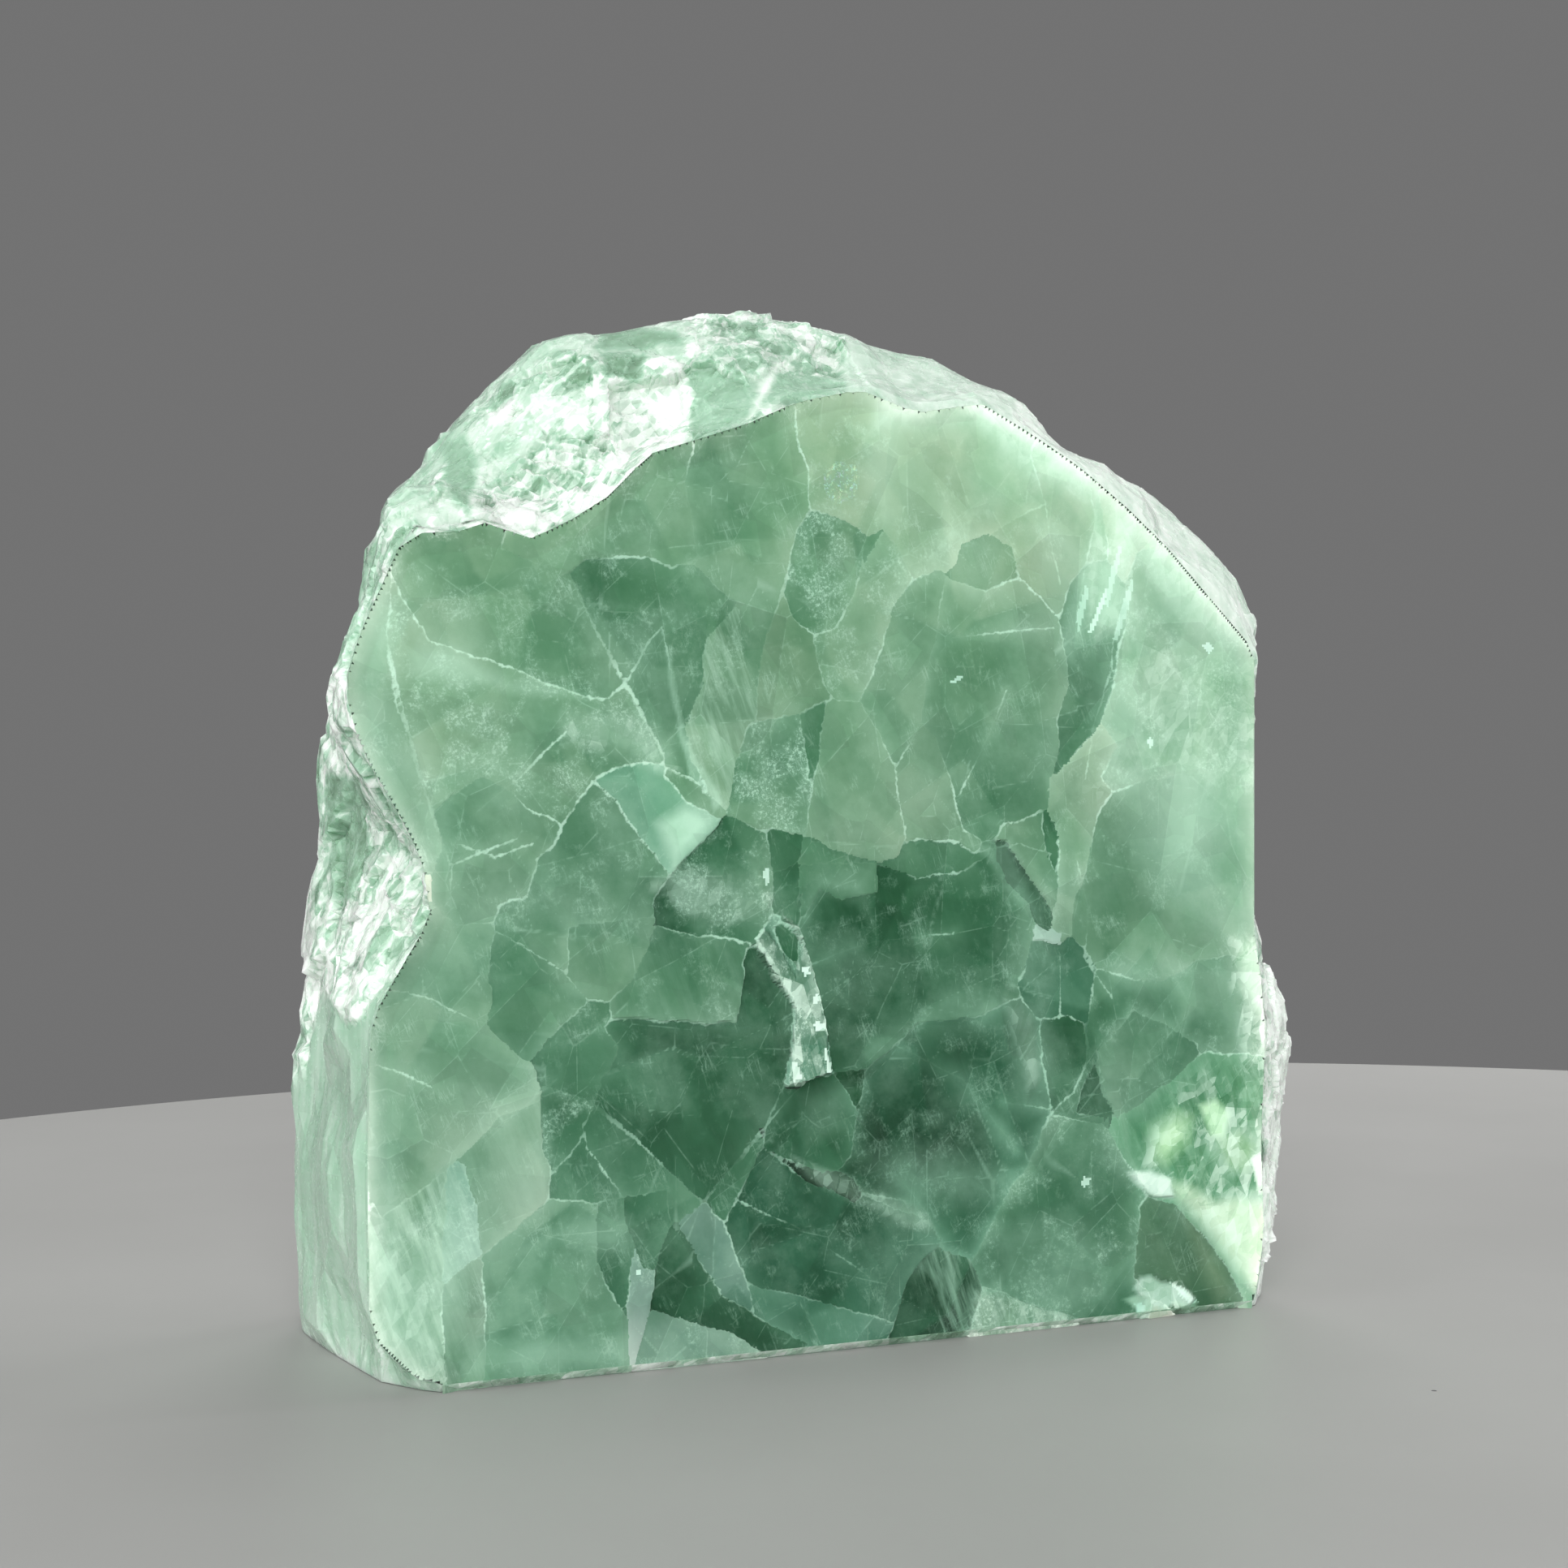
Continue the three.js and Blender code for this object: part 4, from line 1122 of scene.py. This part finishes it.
# %% Painted glints and glows, and spots: colour, fade in mm, outline
GLINTS_GLOWS_AND_SPOTS = [
    ((0.70, 0.79, 0.69), 6.0,
     "1100,380 1500,430 1700,700 1700,830 1545,812 1480,795 1430,740 1395,700 1345,690 "
     "1350,625 1270,600 1200,530 1067,540"),
    ((0.55, 0.68, 0.55), 3.0,
     "1330,700 1352,640 1378,655 1400,700 1412,760 1396,800 1372,790 1350,800 1336,760"),
    # Painted highlights: thin upright glints in the upper right.
    ((0.74, 0.84, 0.75), 0.0, "1372,700 1380,672 1384,674 1377,712 1368,748 1364,744"),
    ((0.70, 0.81, 0.72), 0.0, "1386,742 1396,712 1400,716 1392,752 1380,790 1375,788"),
    ((0.66, 0.78, 0.68), 0.0, "1330,760 1340,722 1345,726 1337,764 1332,782"),
    # Painted glow: patches of the lower right corner made paler and yellower, as if light shone through
    # them.
    ((0.52, 0.69, 0.45), 2.5, "1412,1385 1450,1360 1478,1370 1474,1412 1440,1445 1412,1435"),
    ((0.62, 0.80, 0.56), 0.8, "1475,1360 1500,1350 1522,1370 1512,1412 1490,1402"),
    ((0.25, 0.30, 0.20), 2.5, "1450,1480 1490,1512 1520,1556 1536,1606 1500,1618 1476,1570"),
    ((0.33, 0.49, 0.31), 1.0, "1495,1400 1530,1388 1552,1410 1540,1452 1512,1442"),
    ((0.56, 0.66, 0.55), 1.5, "1515,1150 1590,1150 1590,1360 1562,1340 1545,1260 1525,1220"),
    ((0.63, 0.72, 0.56), 1.2,
     "1425,1447 1470,1455 1500,1476 1530,1470 1590,1490 1590,1600 1556,1612 1535,1584 "
     "1515,1560 1497,1535 1475,1508 1450,1485"),
    ((0.76, 0.83, 0.74), 0.3, "1540,1425 1562,1420 1590,1430 1590,1474 1550,1472"),
    ((0.74, 0.81, 0.73), 0.3, "1558,1365 1590,1360 1590,1420 1566,1425"),
    ((0.66, 0.75, 0.68), 0.6, "1388,1444 1420,1440 1446,1450 1452,1482 1420,1476 1400,1462"),
    ((0.47, 0.59, 0.51), 0.5,
     "1397,1590 1404,1574 1420,1569 1432,1578 1447,1579 1462,1590 1480,1606 1466,1612 "
     "1449,1606 1437,1620 1424,1613 1415,1630 1404,1626 1409,1604"),
    # Painted glints at the foot of the lower right corner.
    ((0.80, 0.90, 0.84), 0.2, "1443,1580 1462,1588 1482,1607 1470,1609 1455,1597"),
    ((0.74, 0.86, 0.80), 0.2, "1402,1606 1412,1608 1413,1618 1403,1622"),
    ((0.012, 0.016, 0.014), 0.0, "939,1392 946,1391 949,1398 944,1403"),
    # From here on, painted glints on small faces and along the splintered wedge.
    ((0.84, 0.90, 0.84), 0.0, "1336,1459 1340,1449 1343,1455 1350,1450 1345,1461 1340,1464"),
    ((0.84, 0.92, 0.86), 0.0, "786,1566 792,1566 792,1573 786,1572"),
    ((0.86, 0.94, 0.86), 0.0, "1344,778 1359,738 1366,724 1367,731 1351,776 1346,781"),
    ((0.86, 0.94, 0.88), 0.0, "1484,796 1492,791 1498,800 1491,805"),
    ((0.86, 0.94, 0.88), 0.0, "1415,912 1421,908 1425,917 1420,923"),
    ((0.70, 0.82, 0.74), 0.0, "1175,840 1185,831 1189,834 1180,843"),
    ((0.85, 0.92, 0.88), 0.0, "990,1194 997,1190 1000,1200 993,1203"),
    ((0.85, 0.92, 0.88), 0.0, "1003,1228 1010,1224 1012,1234 1005,1237"),
    ((0.85, 0.92, 0.88), 0.0, "1003,1262 1009,1258 1018,1262 1017,1271 1008,1272"),
    ((0.85, 0.92, 0.88), 0.0, "1016,1294 1021,1290 1028,1322 1022,1323"),
    ((0.78, 0.86, 0.80), 0.0, "977,1312 984,1308 990,1330 980,1333"),
    ((0.78, 0.86, 0.80), 0.0, "941,1076 949,1066 951,1084 946,1092"),
]
SHIMMER = "1016,585 1032,568 1056,572 1062,592 1054,614 1030,622 1018,604"

print(len(GLINTS_GLOWS_AND_SPOTS), "chips and glows")

# %% Tints and streaks by name
PLAIN_TINT = (0.575, 0.610, 0.495)
TINTS = {
    # The tint of glow is painted light: paler and yellower, as if light shone through from behind.
    "olive": (0.53, 0.56, 0.45), "brown": (0.64, 0.55, 0.43), "glow": (0.76, 0.87, 0.66),
    "streaky": (0.64, 0.71, 0.64), "white_bit": (0.55, 0.66, 0.60), "bright_wedge": (0.50, 0.62, 0.54),
    "pale_wedge": (0.52, 0.66, 0.56), "by_wedge": (0.46, 0.60, 0.43), "dark_tri_low": (0.47, 0.58, 0.46),
    "dark_strip": (0.48, 0.60, 0.45), "below_wedge": (0.49, 0.60, 0.47), "lens": (0.52, 0.60, 0.49),
    "dark_heart": (0.45, 0.60, 0.50), "base_teal": (0.57, 0.61, 0.55), "right_teal": (0.57, 0.61, 0.54),
    "teal_low": (0.54, 0.60, 0.53), "foot_pale": (0.63, 0.61, 0.55), "pale_wedge_low": (0.64, 0.61, 0.59),
    "sliver_low": (0.65, 0.61, 0.59), "tall_right": (0.62, 0.61, 0.50), "base_left": (0.62, 0.61, 0.51),
}
STREAKED = {
    "streaky": 0.6, "striated": 0.9, "lower_left_pale": 0.8, "pale_blade": 0.7, "big_left_low": 0.15,
    "base_left": 0.2, "glow": 0.3, "white_foot": 0.6, "block": 0.12, "bright_wedge": 0.4,
}
tints = np.array([PLAIN_TINT] + [TINTS.get(name, PLAIN_TINT) for name, *_ in GRAINS])
streak_of = np.array([0.1] + [STREAKED.get(name, 0.03) for name, *_ in GRAINS])
bruised = 0.15 + 0.5 * chance(np.arange(len(GRAINS) + 1)[:, None], 5)
bruised = bruised * np.clip((reach - 2) / 5, 0, 1)
print(len(TINTS), "grains have a tint of their own")

# %% Tone of each corner
WAY_DOWN_AND_BACK = 2.25  # mm of green that each mm of depth adds, on a slanting way
MILK_WHITE = np.array([0.63, 0.76, 0.64])
PALER, MILKIER = 0.35, 0.40  # what a bruise does to the green and to the milk
ALL_TINTS = 1.02  # what every tint is multiplied by
AT_100_MM = (0.03, 0.04, -0.10)  # what this gains at a height of 100 mm, in red, green and blue
AT_THE_FOOT = (0.01, -0.07, 0.0)  # and at any height


def tone(faces):
    """The colour at every corner of the faces, each face's grain, and whether the face shimmers.
    Green lost in mm: the grain's own depth less the depth at which the corner really stands."""
    spot = flat_spots[faces]
    middle = spot.mean(axis=1)
    kind = grain_map[tuple(np.round((middle - MAP_START) / STEP).astype(int).T)]
    along = ((spot - middles[kind][:, None]) * pull[kind][:, None]).sum(axis=-1) / reach[kind][:, None]
    shallow, deep = table[kind, 0][:, None], table[kind, 1][:, None]
    green = shallow + (deep - shallow) * np.clip(along * 0.5 + 0.5, 0, 1)
    green = green * soft[coarse].ravel()[faces]
    bruise = halo[coarse].ravel()[faces] * bruised[kind][:, None]
    green = green * (1 - PALER * bruise)
    extra = green - spot_depth[coarse].ravel()[faces]
    height = spot[..., 1:] / 100
    colour = tints[kind][:, None] * (ALL_TINTS + height * AT_100_MM + AT_THE_FOOT)
    colour = colour * np.exp(-np.array(ABSORBED_PER_M) * MM * WAY_DOWN_AND_BACK * extra[..., None])
    white = 1 - (1 - veil[coarse].ravel()[faces][..., None]) * (1 - MILKIER * bruise[..., None])
    colour = colour + (MILK_WHITE - colour) * white
    # Painted highlights, painted glows and the spots are laid over the colour here.
    for chip, fade_mm, words in GLINTS_GLOWS_AND_SPOTS:
        outline = read_outline(words)
        held = holds(outline, middle)
        share = np.clip(to_outline(outline, spot[held]) / max(fade_mm, 0.001), 0, 1) if fade_mm else 1.0
        colour[held] += (np.array(chip) - colour[held]) * np.reshape(share, np.shape(share) + (1,))
    return np.clip(colour, 0, 0.95), kind, holds(read_outline(SHIMMER), middle)


def give_to_corners(piece, name, colours):
    """Stores a colour for each corner of each face."""
    layer = piece.data.attributes.new(name, "FLOAT_COLOR", "CORNER")
    rgba = np.concatenate([colours.reshape(-1, 3), np.ones((colours[..., 0].size, 1))], axis=1)
    layer.data.foreach_set("color", np.ascontiguousarray(rgba, np.float32).ravel())


print("a bruise makes the green", PALER, "paler at most")

# %% [markdown]
# The landscape is made in two halves, because a piece should stay under two hundred thousand
# triangles. They meet without a gap, since both use the same row of points.

# %% The two halves of the cracks
HALF = 196  # columns of faces in the left half

for name, part in (("cracks_left", slice(0, HALF)), ("cracks_right", slice(HALF, None))):
    faces = cells[part][quad[part]]
    used, packed = np.unique(faces, return_inverse=True)
    piece = new_piece(name, where[used], packed.reshape(faces.shape), crack_finish)
    piece.visible_shadow = False
    colours, kind, shimmer = tone(faces)
    give_to_corners(piece, "tint", colours)
    own = np.stack([streak_of[kind], frost_of[kind], shimmer], axis=-1)
    give_to_corners(piece, "own", np.repeat(own[:, None], 4, axis=1))
    give_numbers(piece, "shatter_and_glint", shatter_and_glint[coarse].ravel()[used])
    give_numbers(piece, "hair", between[coarse].ravel()[used])
    give_numbers(piece, "opening", opening[row, column][coarse].ravel()[used])
    give_numbers(piece, "to_edge", np.where(snap, 0, to_edge)[coarse].ravel()[used])

# %% [markdown]
# ## The skin's shape
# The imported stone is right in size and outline, but its broken parts are coarse. A remesh would
# lose the sharp rim of the polish, and an even subdivision would waste triangles on the flat
# front. So every edge that is too long for its place is cut in half, and each triangle is redrawn
# from its one, two or three cut edges. No crack can open, because both triangles of an edge see
# the same cut. After a few rounds the broken parts are fine enough to carry chips.

# %% Cutting long edges
def refine(points, triangles, limit):
    """One round: an edge longer than the mean of its two ends' limits gets a middle point. One
    cut makes two triangles, two cuts make three, three cuts make four."""
    sides = np.sort(triangles[:, [[0, 1], [1, 2], [2, 0]]].reshape(-1, 2), axis=1)
    sides, which = np.unique(sides, axis=0, return_inverse=True)
    length = np.linalg.norm(points[sides[:, 0]] - points[sides[:, 1]], axis=1)
    cut = length > limit[sides].mean(axis=1)
    middle = np.where(cut, np.cumsum(cut) - 1 + len(points), -1)[which.ravel()].reshape(-1, 3)
    points = np.concatenate([points, points[sides[cut]].mean(axis=1)])
    turn = np.array([[0, 1, 2], [1, 2, 0], [2, 0, 1]])
    cuts = (middle >= 0).sum(axis=1)
    first = np.where(cuts == 1, (middle >= 0).argmax(axis=1), 0)
    first = np.where(cuts == 2, ((middle < 0).argmax(axis=1) + 1) % 3, first)
    a, b, c = np.take_along_axis(triangles, turn[first], axis=1).T
    ab, bc, ca = np.take_along_axis(middle, turn[first], axis=1).T
    plans = {
        0: [(a, b, c)],
        1: [(a, ab, c), (ab, b, c)],
        2: [(ab, b, bc), (a, ab, bc), (a, bc, c)],
        3: [(a, ab, ca), (ab, b, bc), (ca, bc, c), (ab, bc, ca)],
    }
    made = [np.stack(t, axis=1)[cuts == k] for k, plan in plans.items() for t in plan]
    return points, np.concatenate(made)


def to_frame(points):
    """Frame units at which the eye sees points in mm: the offsets from the eye along right and up
    over the distance ahead, times the lens."""
    away = points - EYE
    ahead = away[..., 0] * np.sin(EYE_TURN) + away[..., 1] * np.cos(EYE_TURN)
    right = away[..., 0] * np.cos(EYE_TURN) - away[..., 1] * np.sin(EYE_TURN)
    across = FRAME_UNITS / 2 + LENS_UNITS * right / ahead
    return np.stack([across, HORIZON_UNITS - LENS_UNITS * away[..., 2] / ahead], axis=-1)


def outward(points, triangles):
    """The direction away from the stone at each point: its triangles' normals, summed by area."""
    a, b, c = points[triangles].transpose(1, 0, 2)
    facing = np.cross(b - a, c - a)
    total = np.zeros_like(points)
    for corner in triangles.T:
        np.add.at(total, corner, facing)
    return total / np.maximum(np.linalg.norm(total, axis=1, keepdims=True), 1e-9)


# %% The skin cut finer
HOLLOW = "500,655 560,655 611,640 650,668 744,616 783,569 801,541 826,534 851,555 905,530 960,500 " \
    "1000,470 960,400 860,385 700,410 640,440 560,520 510,600"
hollow_units = frame_points(HOLLOW)
FINEST, FINE, COARSE, SAWN = 0.42, 0.60, 1.5, 9.0  # longest edges, mm: hollow, sides, back, sawn
skin_points, skin_triangles = points, triangles
for _ in range(6):
    behind = skin_points[:, 1] - FACE_Y
    limit = np.where(behind < 20, FINE, COARSE)
    limit = np.where(holds(hollow_units, to_frame(skin_points)) & (behind < 20), FINEST, limit)
    limit = np.where((behind < 0.01) | (skin_points[:, 2] < 0.01), SAWN, limit)
    skin_points, skin_triangles = refine(skin_points, skin_triangles, limit)
print("skin:", len(skin_points), "points,", len(skin_triangles), "triangles")

# %% [markdown]
# ## Chips and steps
# Fluorite breaks along flat planes, so its broken skin is chips beside chips with sharp ridges, at
# every size. Three sizes of facet are pushed out along the skin's own direction. Beside the polish
# and the foot the push fades to nothing, which keeps the sawn edges straight. In the glassy hollow
# the planes break as long thin steps, like the edge of a stack of paper.
#
# The skin isn't the same all over: the hollow is shattered and white, the crown's rim is smooth
# and milky, and the left flank is nearly as clear as the window. One noise can't know that, so the
# areas are written down as the eye sees them, each with its milk and its roughness.

# %% Areas of the broken skin: milk, roughness, and an outline in frame units
AREAS = [
    (0.54, 0.0, "350,1180 480,1180 560,1720 350,1720"),
    (0.64, 0.35, "355,1630 470,1650 560,1690 560,1725 400,1700"),
    (0.74, 0.90,
     "380,830 430,820 424,886 470,991 479,1054 521,1042 533,1130 487,1193 462,1225 440,1262 "
     "424,1266 408,1236 396,1226 386,1262 374,1330 350,1330 360,1100"),
    (0.28, 0.45, "405,950 455,950 462,1040 430,1115 402,1100"),
    (0.50, 0.45, "440,640 490,630 470,700 440,830 400,830"),
    (0.62, 0.20,
     "465,650 500,585 560,510 620,440 650,415 740,400 850,385 850,450 690,440 600,490 560,560 "
     "540,600 530,660"),
    (0.72, 0.30, "540,600 560,540 600,490 660,470 700,500 650,560 600,600 575,650 530,660"),
    (0.34, 0.15, "540,548 575,528 592,570 578,640 552,612"),
    (0.92, 0.90, "596,490 640,494 700,488 702,512 650,512 600,530"),
    (0.95, 0.90, "690,478 790,465 855,515 850,555 780,572 690,548"),
    (0.74, 1.00, "600,600 690,535 765,535 765,618 700,640 655,672 600,645"),
    (0.95, 0.90, "800,530 818,545 768,625 742,618"),
    (1.00, 0.90, "790,440 838,438 852,470 852,522 828,533 788,530 783,480"),
    (0.20, 0.40, "740,434 800,432 795,455 782,474 740,470"),
    (0.30, 0.05, "735,402 835,402 842,426 790,433 735,432"),
    (0.58, 0.80, "842,385 1060,385 1050,455 905,462 850,445"),
    (0.48, 0.25, "852,450 905,462 1050,455 1060,485 960,500 905,528 852,552"),
    # A glassy sliver made fully white: a painted glint.
    (1.00, 0.05, "918,520 934,470 955,448 964,455 954,482 930,515"),
    (0.74, 0.10, "1030,385 1290,490 1340,520 1300,600 1270,560 1180,525 1040,500"),
    (0.90, 0.10, "1250,470 1380,540 1575,720 1590,830 1480,790 1390,700 1290,590 1240,530"),
    (1.00, 0.80, "1530,1160 1600,1200 1610,1420 1530,1420"),
    (0.80, 0.60, "1530,800 1600,800 1600,1180 1530,1180"),
    (1.00, 0.70, "1530,1420 1600,1400 1600,1600 1530,1620"),
]
area_outlines = [frame_points(words) for *_, words in AREAS]
print(len(AREAS), "areas of the broken skin")


# %% Milk and roughness by area
AHEAD = np.array([0.4151, 0.9098, 0.0])  # the way the eye looks
SEEN_BACK, FLANK_BACK = 30, 40  # mm behind the polish that areas reach, and more on the left flank


def by_area(points, facing):
    """Milk and roughness at each point. Each area in turn pulls them towards its own, fully where
    the point is well inside the outline and looks at the eye, and not at all where it is hidden.
    Round the corner of the polish an area fades out from 16 to 30 mm behind it, but the left flank
    is seen to its far end, so there it reaches as far as the flank does."""
    seen = to_frame(points) + 6 * np.stack([clouds(points, 3.0, salt) for salt in (85, 86)], axis=-1)
    behind = points[:, 1] - FACE_Y
    reaching = SEEN_BACK + FLANK_BACK * np.maximum(-facing[:, 0], 0)
    fading = np.clip((reaching - behind) / 14, 0, 1)
    towards = fading * np.clip((0.75 - facing @ AHEAD) / 0.35, 0, 1)
    milk, rough = 0.56 + 0.2 * clouds(points, 20.0, 83), np.full(len(points), 0.8)
    for (amount, share, _), outline in zip(AREAS, area_outlines):
        near = (seen > outline.min(axis=0)).all(axis=1) & (seen < outline.max(axis=0)).all(axis=1)
        held = np.zeros(len(points))
        held[near] = holds(outline, seen[near]) * np.clip(to_outline(outline, seen[near]) / 9, 0.25, 1)
        held = held * towards
        milk, rough = milk + (amount - milk) * held, rough + (share - rough) * held
    return milk, rough


# %% Chipped skin
behind = skin_points[:, 1] - FACE_Y
away = outward(skin_points, skin_triangles)
milk_at, rough_at = by_area(skin_points, away)
fade = np.clip(behind / 0.5, 0, 1) * np.clip(skin_points[:, 2] / 1.5, 0, 1)
splintered = skin_points @ np.array([[1.0, 0, 0.25], [0, 1.0, 0.15], [-0.2, 0.1, 0.7]])
large, large_gap, large_own = facets(splintered, 9.0, 1.2, 51)
middling, middling_gap, middling_own = facets(splintered, 4.0, 0.7, 57)
small, small_gap, small_own = facets(skin_points, 1.7, 0.26, 63)
at_back = np.clip((behind - 20) / 8, 0, 1)
chips = (large * (1 + at_back) + middling + small) * (0.05 + 0.95 * rough_at)
crease = np.minimum(np.minimum(large_gap, middling_gap), 0.12 + small_gap) / 2

seen_at = to_frame(skin_points)
in_hollow = holds(hollow_units, seen_at) & (away[:, 1] < 0.2) & (rough_at > 0.95)
lean = skin_points @ np.array([0.25, -0.3, 1.0]) + 1.2 * clouds(skin_points, 9.0, 71)
share = (lean / 1.5) % 1.0
chips = np.where(in_hollow, 0.6 * chips + 0.7 * share - 0.35, chips)
crease = np.where(in_hollow, np.minimum(crease, np.minimum(share, 1 - share)), crease)
skin_points = skin_points + away * (fade * np.clip(chips, -1.5 - at_back, 0.8))[:, None]
uneven = 0.34 * (middling_own - 0.5) + 0.30 * (large_own - 0.5) + 0.20 * (small_own - 0.5)
milk_at = milk_at + 0.10 * clouds(skin_points, 14.0, 81) + uneven * rough_at

skin = new_piece("fluorite_skin", skin_points, skin_triangles, skin_finish)
give_numbers(skin, "milk", milk_at)
give_numbers(skin, "crease", crease)
give_numbers(skin, "rough", rough_at)
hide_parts("fluorite_stone")

# %% [markdown]
# ## Floor, lamps and eye
# The stone stands on a plain pale round top, in soft light from large panes above and beside it,
# with a plain grey room around. No lamp stands where the polished plane would mirror it into the
# eye, because a mirrored lamp would hide the grains behind a white glare.

# %% Floor
TOP_MIDDLE, TOP_RADIUS = (40.0, -60.0), 265.0  # mm
angle = np.linspace(0, 2 * np.pi, 257)[:-1]
rings = np.array([0.001, 0.5, 1.0]) * TOP_RADIUS
rim = np.stack([np.cos(angle), np.sin(angle)], axis=-1)
flat = (rings[:, None, None] * rim + TOP_MIDDLE).reshape(-1, 2)
top_points = np.concatenate([flat, np.full((len(flat), 1), -0.05)], axis=1)
ring, spoke = np.meshgrid(np.arange(2), np.arange(256), indexing="ij")
a, b = ring * 256 + spoke, ring * 256 + (spoke + 1) % 256
top_faces = np.stack([a, a + 256, b + 256, b], axis=-1).reshape(-1, 4)
floor_finish, tree, place = new_finish("pale_top")
wear = grain(tree, place, 60.0, 5.0, 0.6)
pale = blend(tree, wear, (0.31, 0.31, 0.30, 1), (0.36, 0.36, 0.35, 1))
top_body = add(tree, "BsdfPrincipled", {"Base Color": pale, "Roughness": 0.5})
add(tree, "OutputMaterial", {"Surface": top_body.outputs[0]})
mesh = bpy.data.meshes.new("pale_top")
mesh.from_pydata((top_points * MM).tolist(), [], top_faces.tolist())
mesh.materials.append(floor_finish)
top = bpy.data.objects.new("pale_top", mesh)
bpy.context.scene.collection.objects.link(top)
print("round top of", TOP_RADIUS * 2, "mm")

# %% Lamps and room
def pane(name, place, size, watts, mirrored=False, aim=(0, 0, 0.05)):
    """A square pane of soft light, aimed at the stone. It may be seen mirrored in it or not."""
    light = bpy.data.lights.new(name, "AREA")
    light.size, light.energy = size, watts
    lamp = bpy.data.objects.new(name, light)
    lamp.location, lamp.visible_glossy = place, mirrored
    lamp.rotation_euler = (Vector(aim) - Vector(place)).to_track_quat("-Z", "Y").to_euler()
    bpy.context.scene.collection.objects.link(lamp)


pane("front_pane", (-0.50, -1.00, 0.55), 0.7, 16.5, mirrored=True)
pane("top_pane", (0.0, 0.0, 1.0), 0.8, 2.0)
pane("back_pane", (0.35, 0.65, 0.45), 0.4, 3)
pane("left_pane", (-0.9, 0.0, 0.3), 0.5, 4)
pane("right_pane", (0.8, 0.1, 0.3), 0.5, 5)
room = bpy.data.worlds.new("room")
room.use_nodes = True
room.node_tree.nodes["Background"].inputs["Color"].default_value = (0.17, 0.17, 0.17, 1)
scene = bpy.context.scene
scene.world = room
scene.view_settings.view_transform = "Standard"
scene.cycles.max_bounces = 10
scene.cycles.transmission_bounces = 10
scene.cycles.diffuse_bounces = 3

# %% Eye
lens = bpy.data.cameras.new("eye")
lens.sensor_width = 36
lens.lens = LENS_UNITS / FRAME_UNITS * lens.sensor_width
lens.shift_y = (HORIZON_UNITS - FRAME_UNITS / 2) / FRAME_UNITS
lens.clip_start, lens.clip_end = 0.01, 20
eye = bpy.data.objects.new("eye", lens)
eye.location = EYE * MM
eye.rotation_euler = (np.pi / 2, 0, -EYE_TURN)
scene.collection.objects.link(eye)
scene.camera = eye
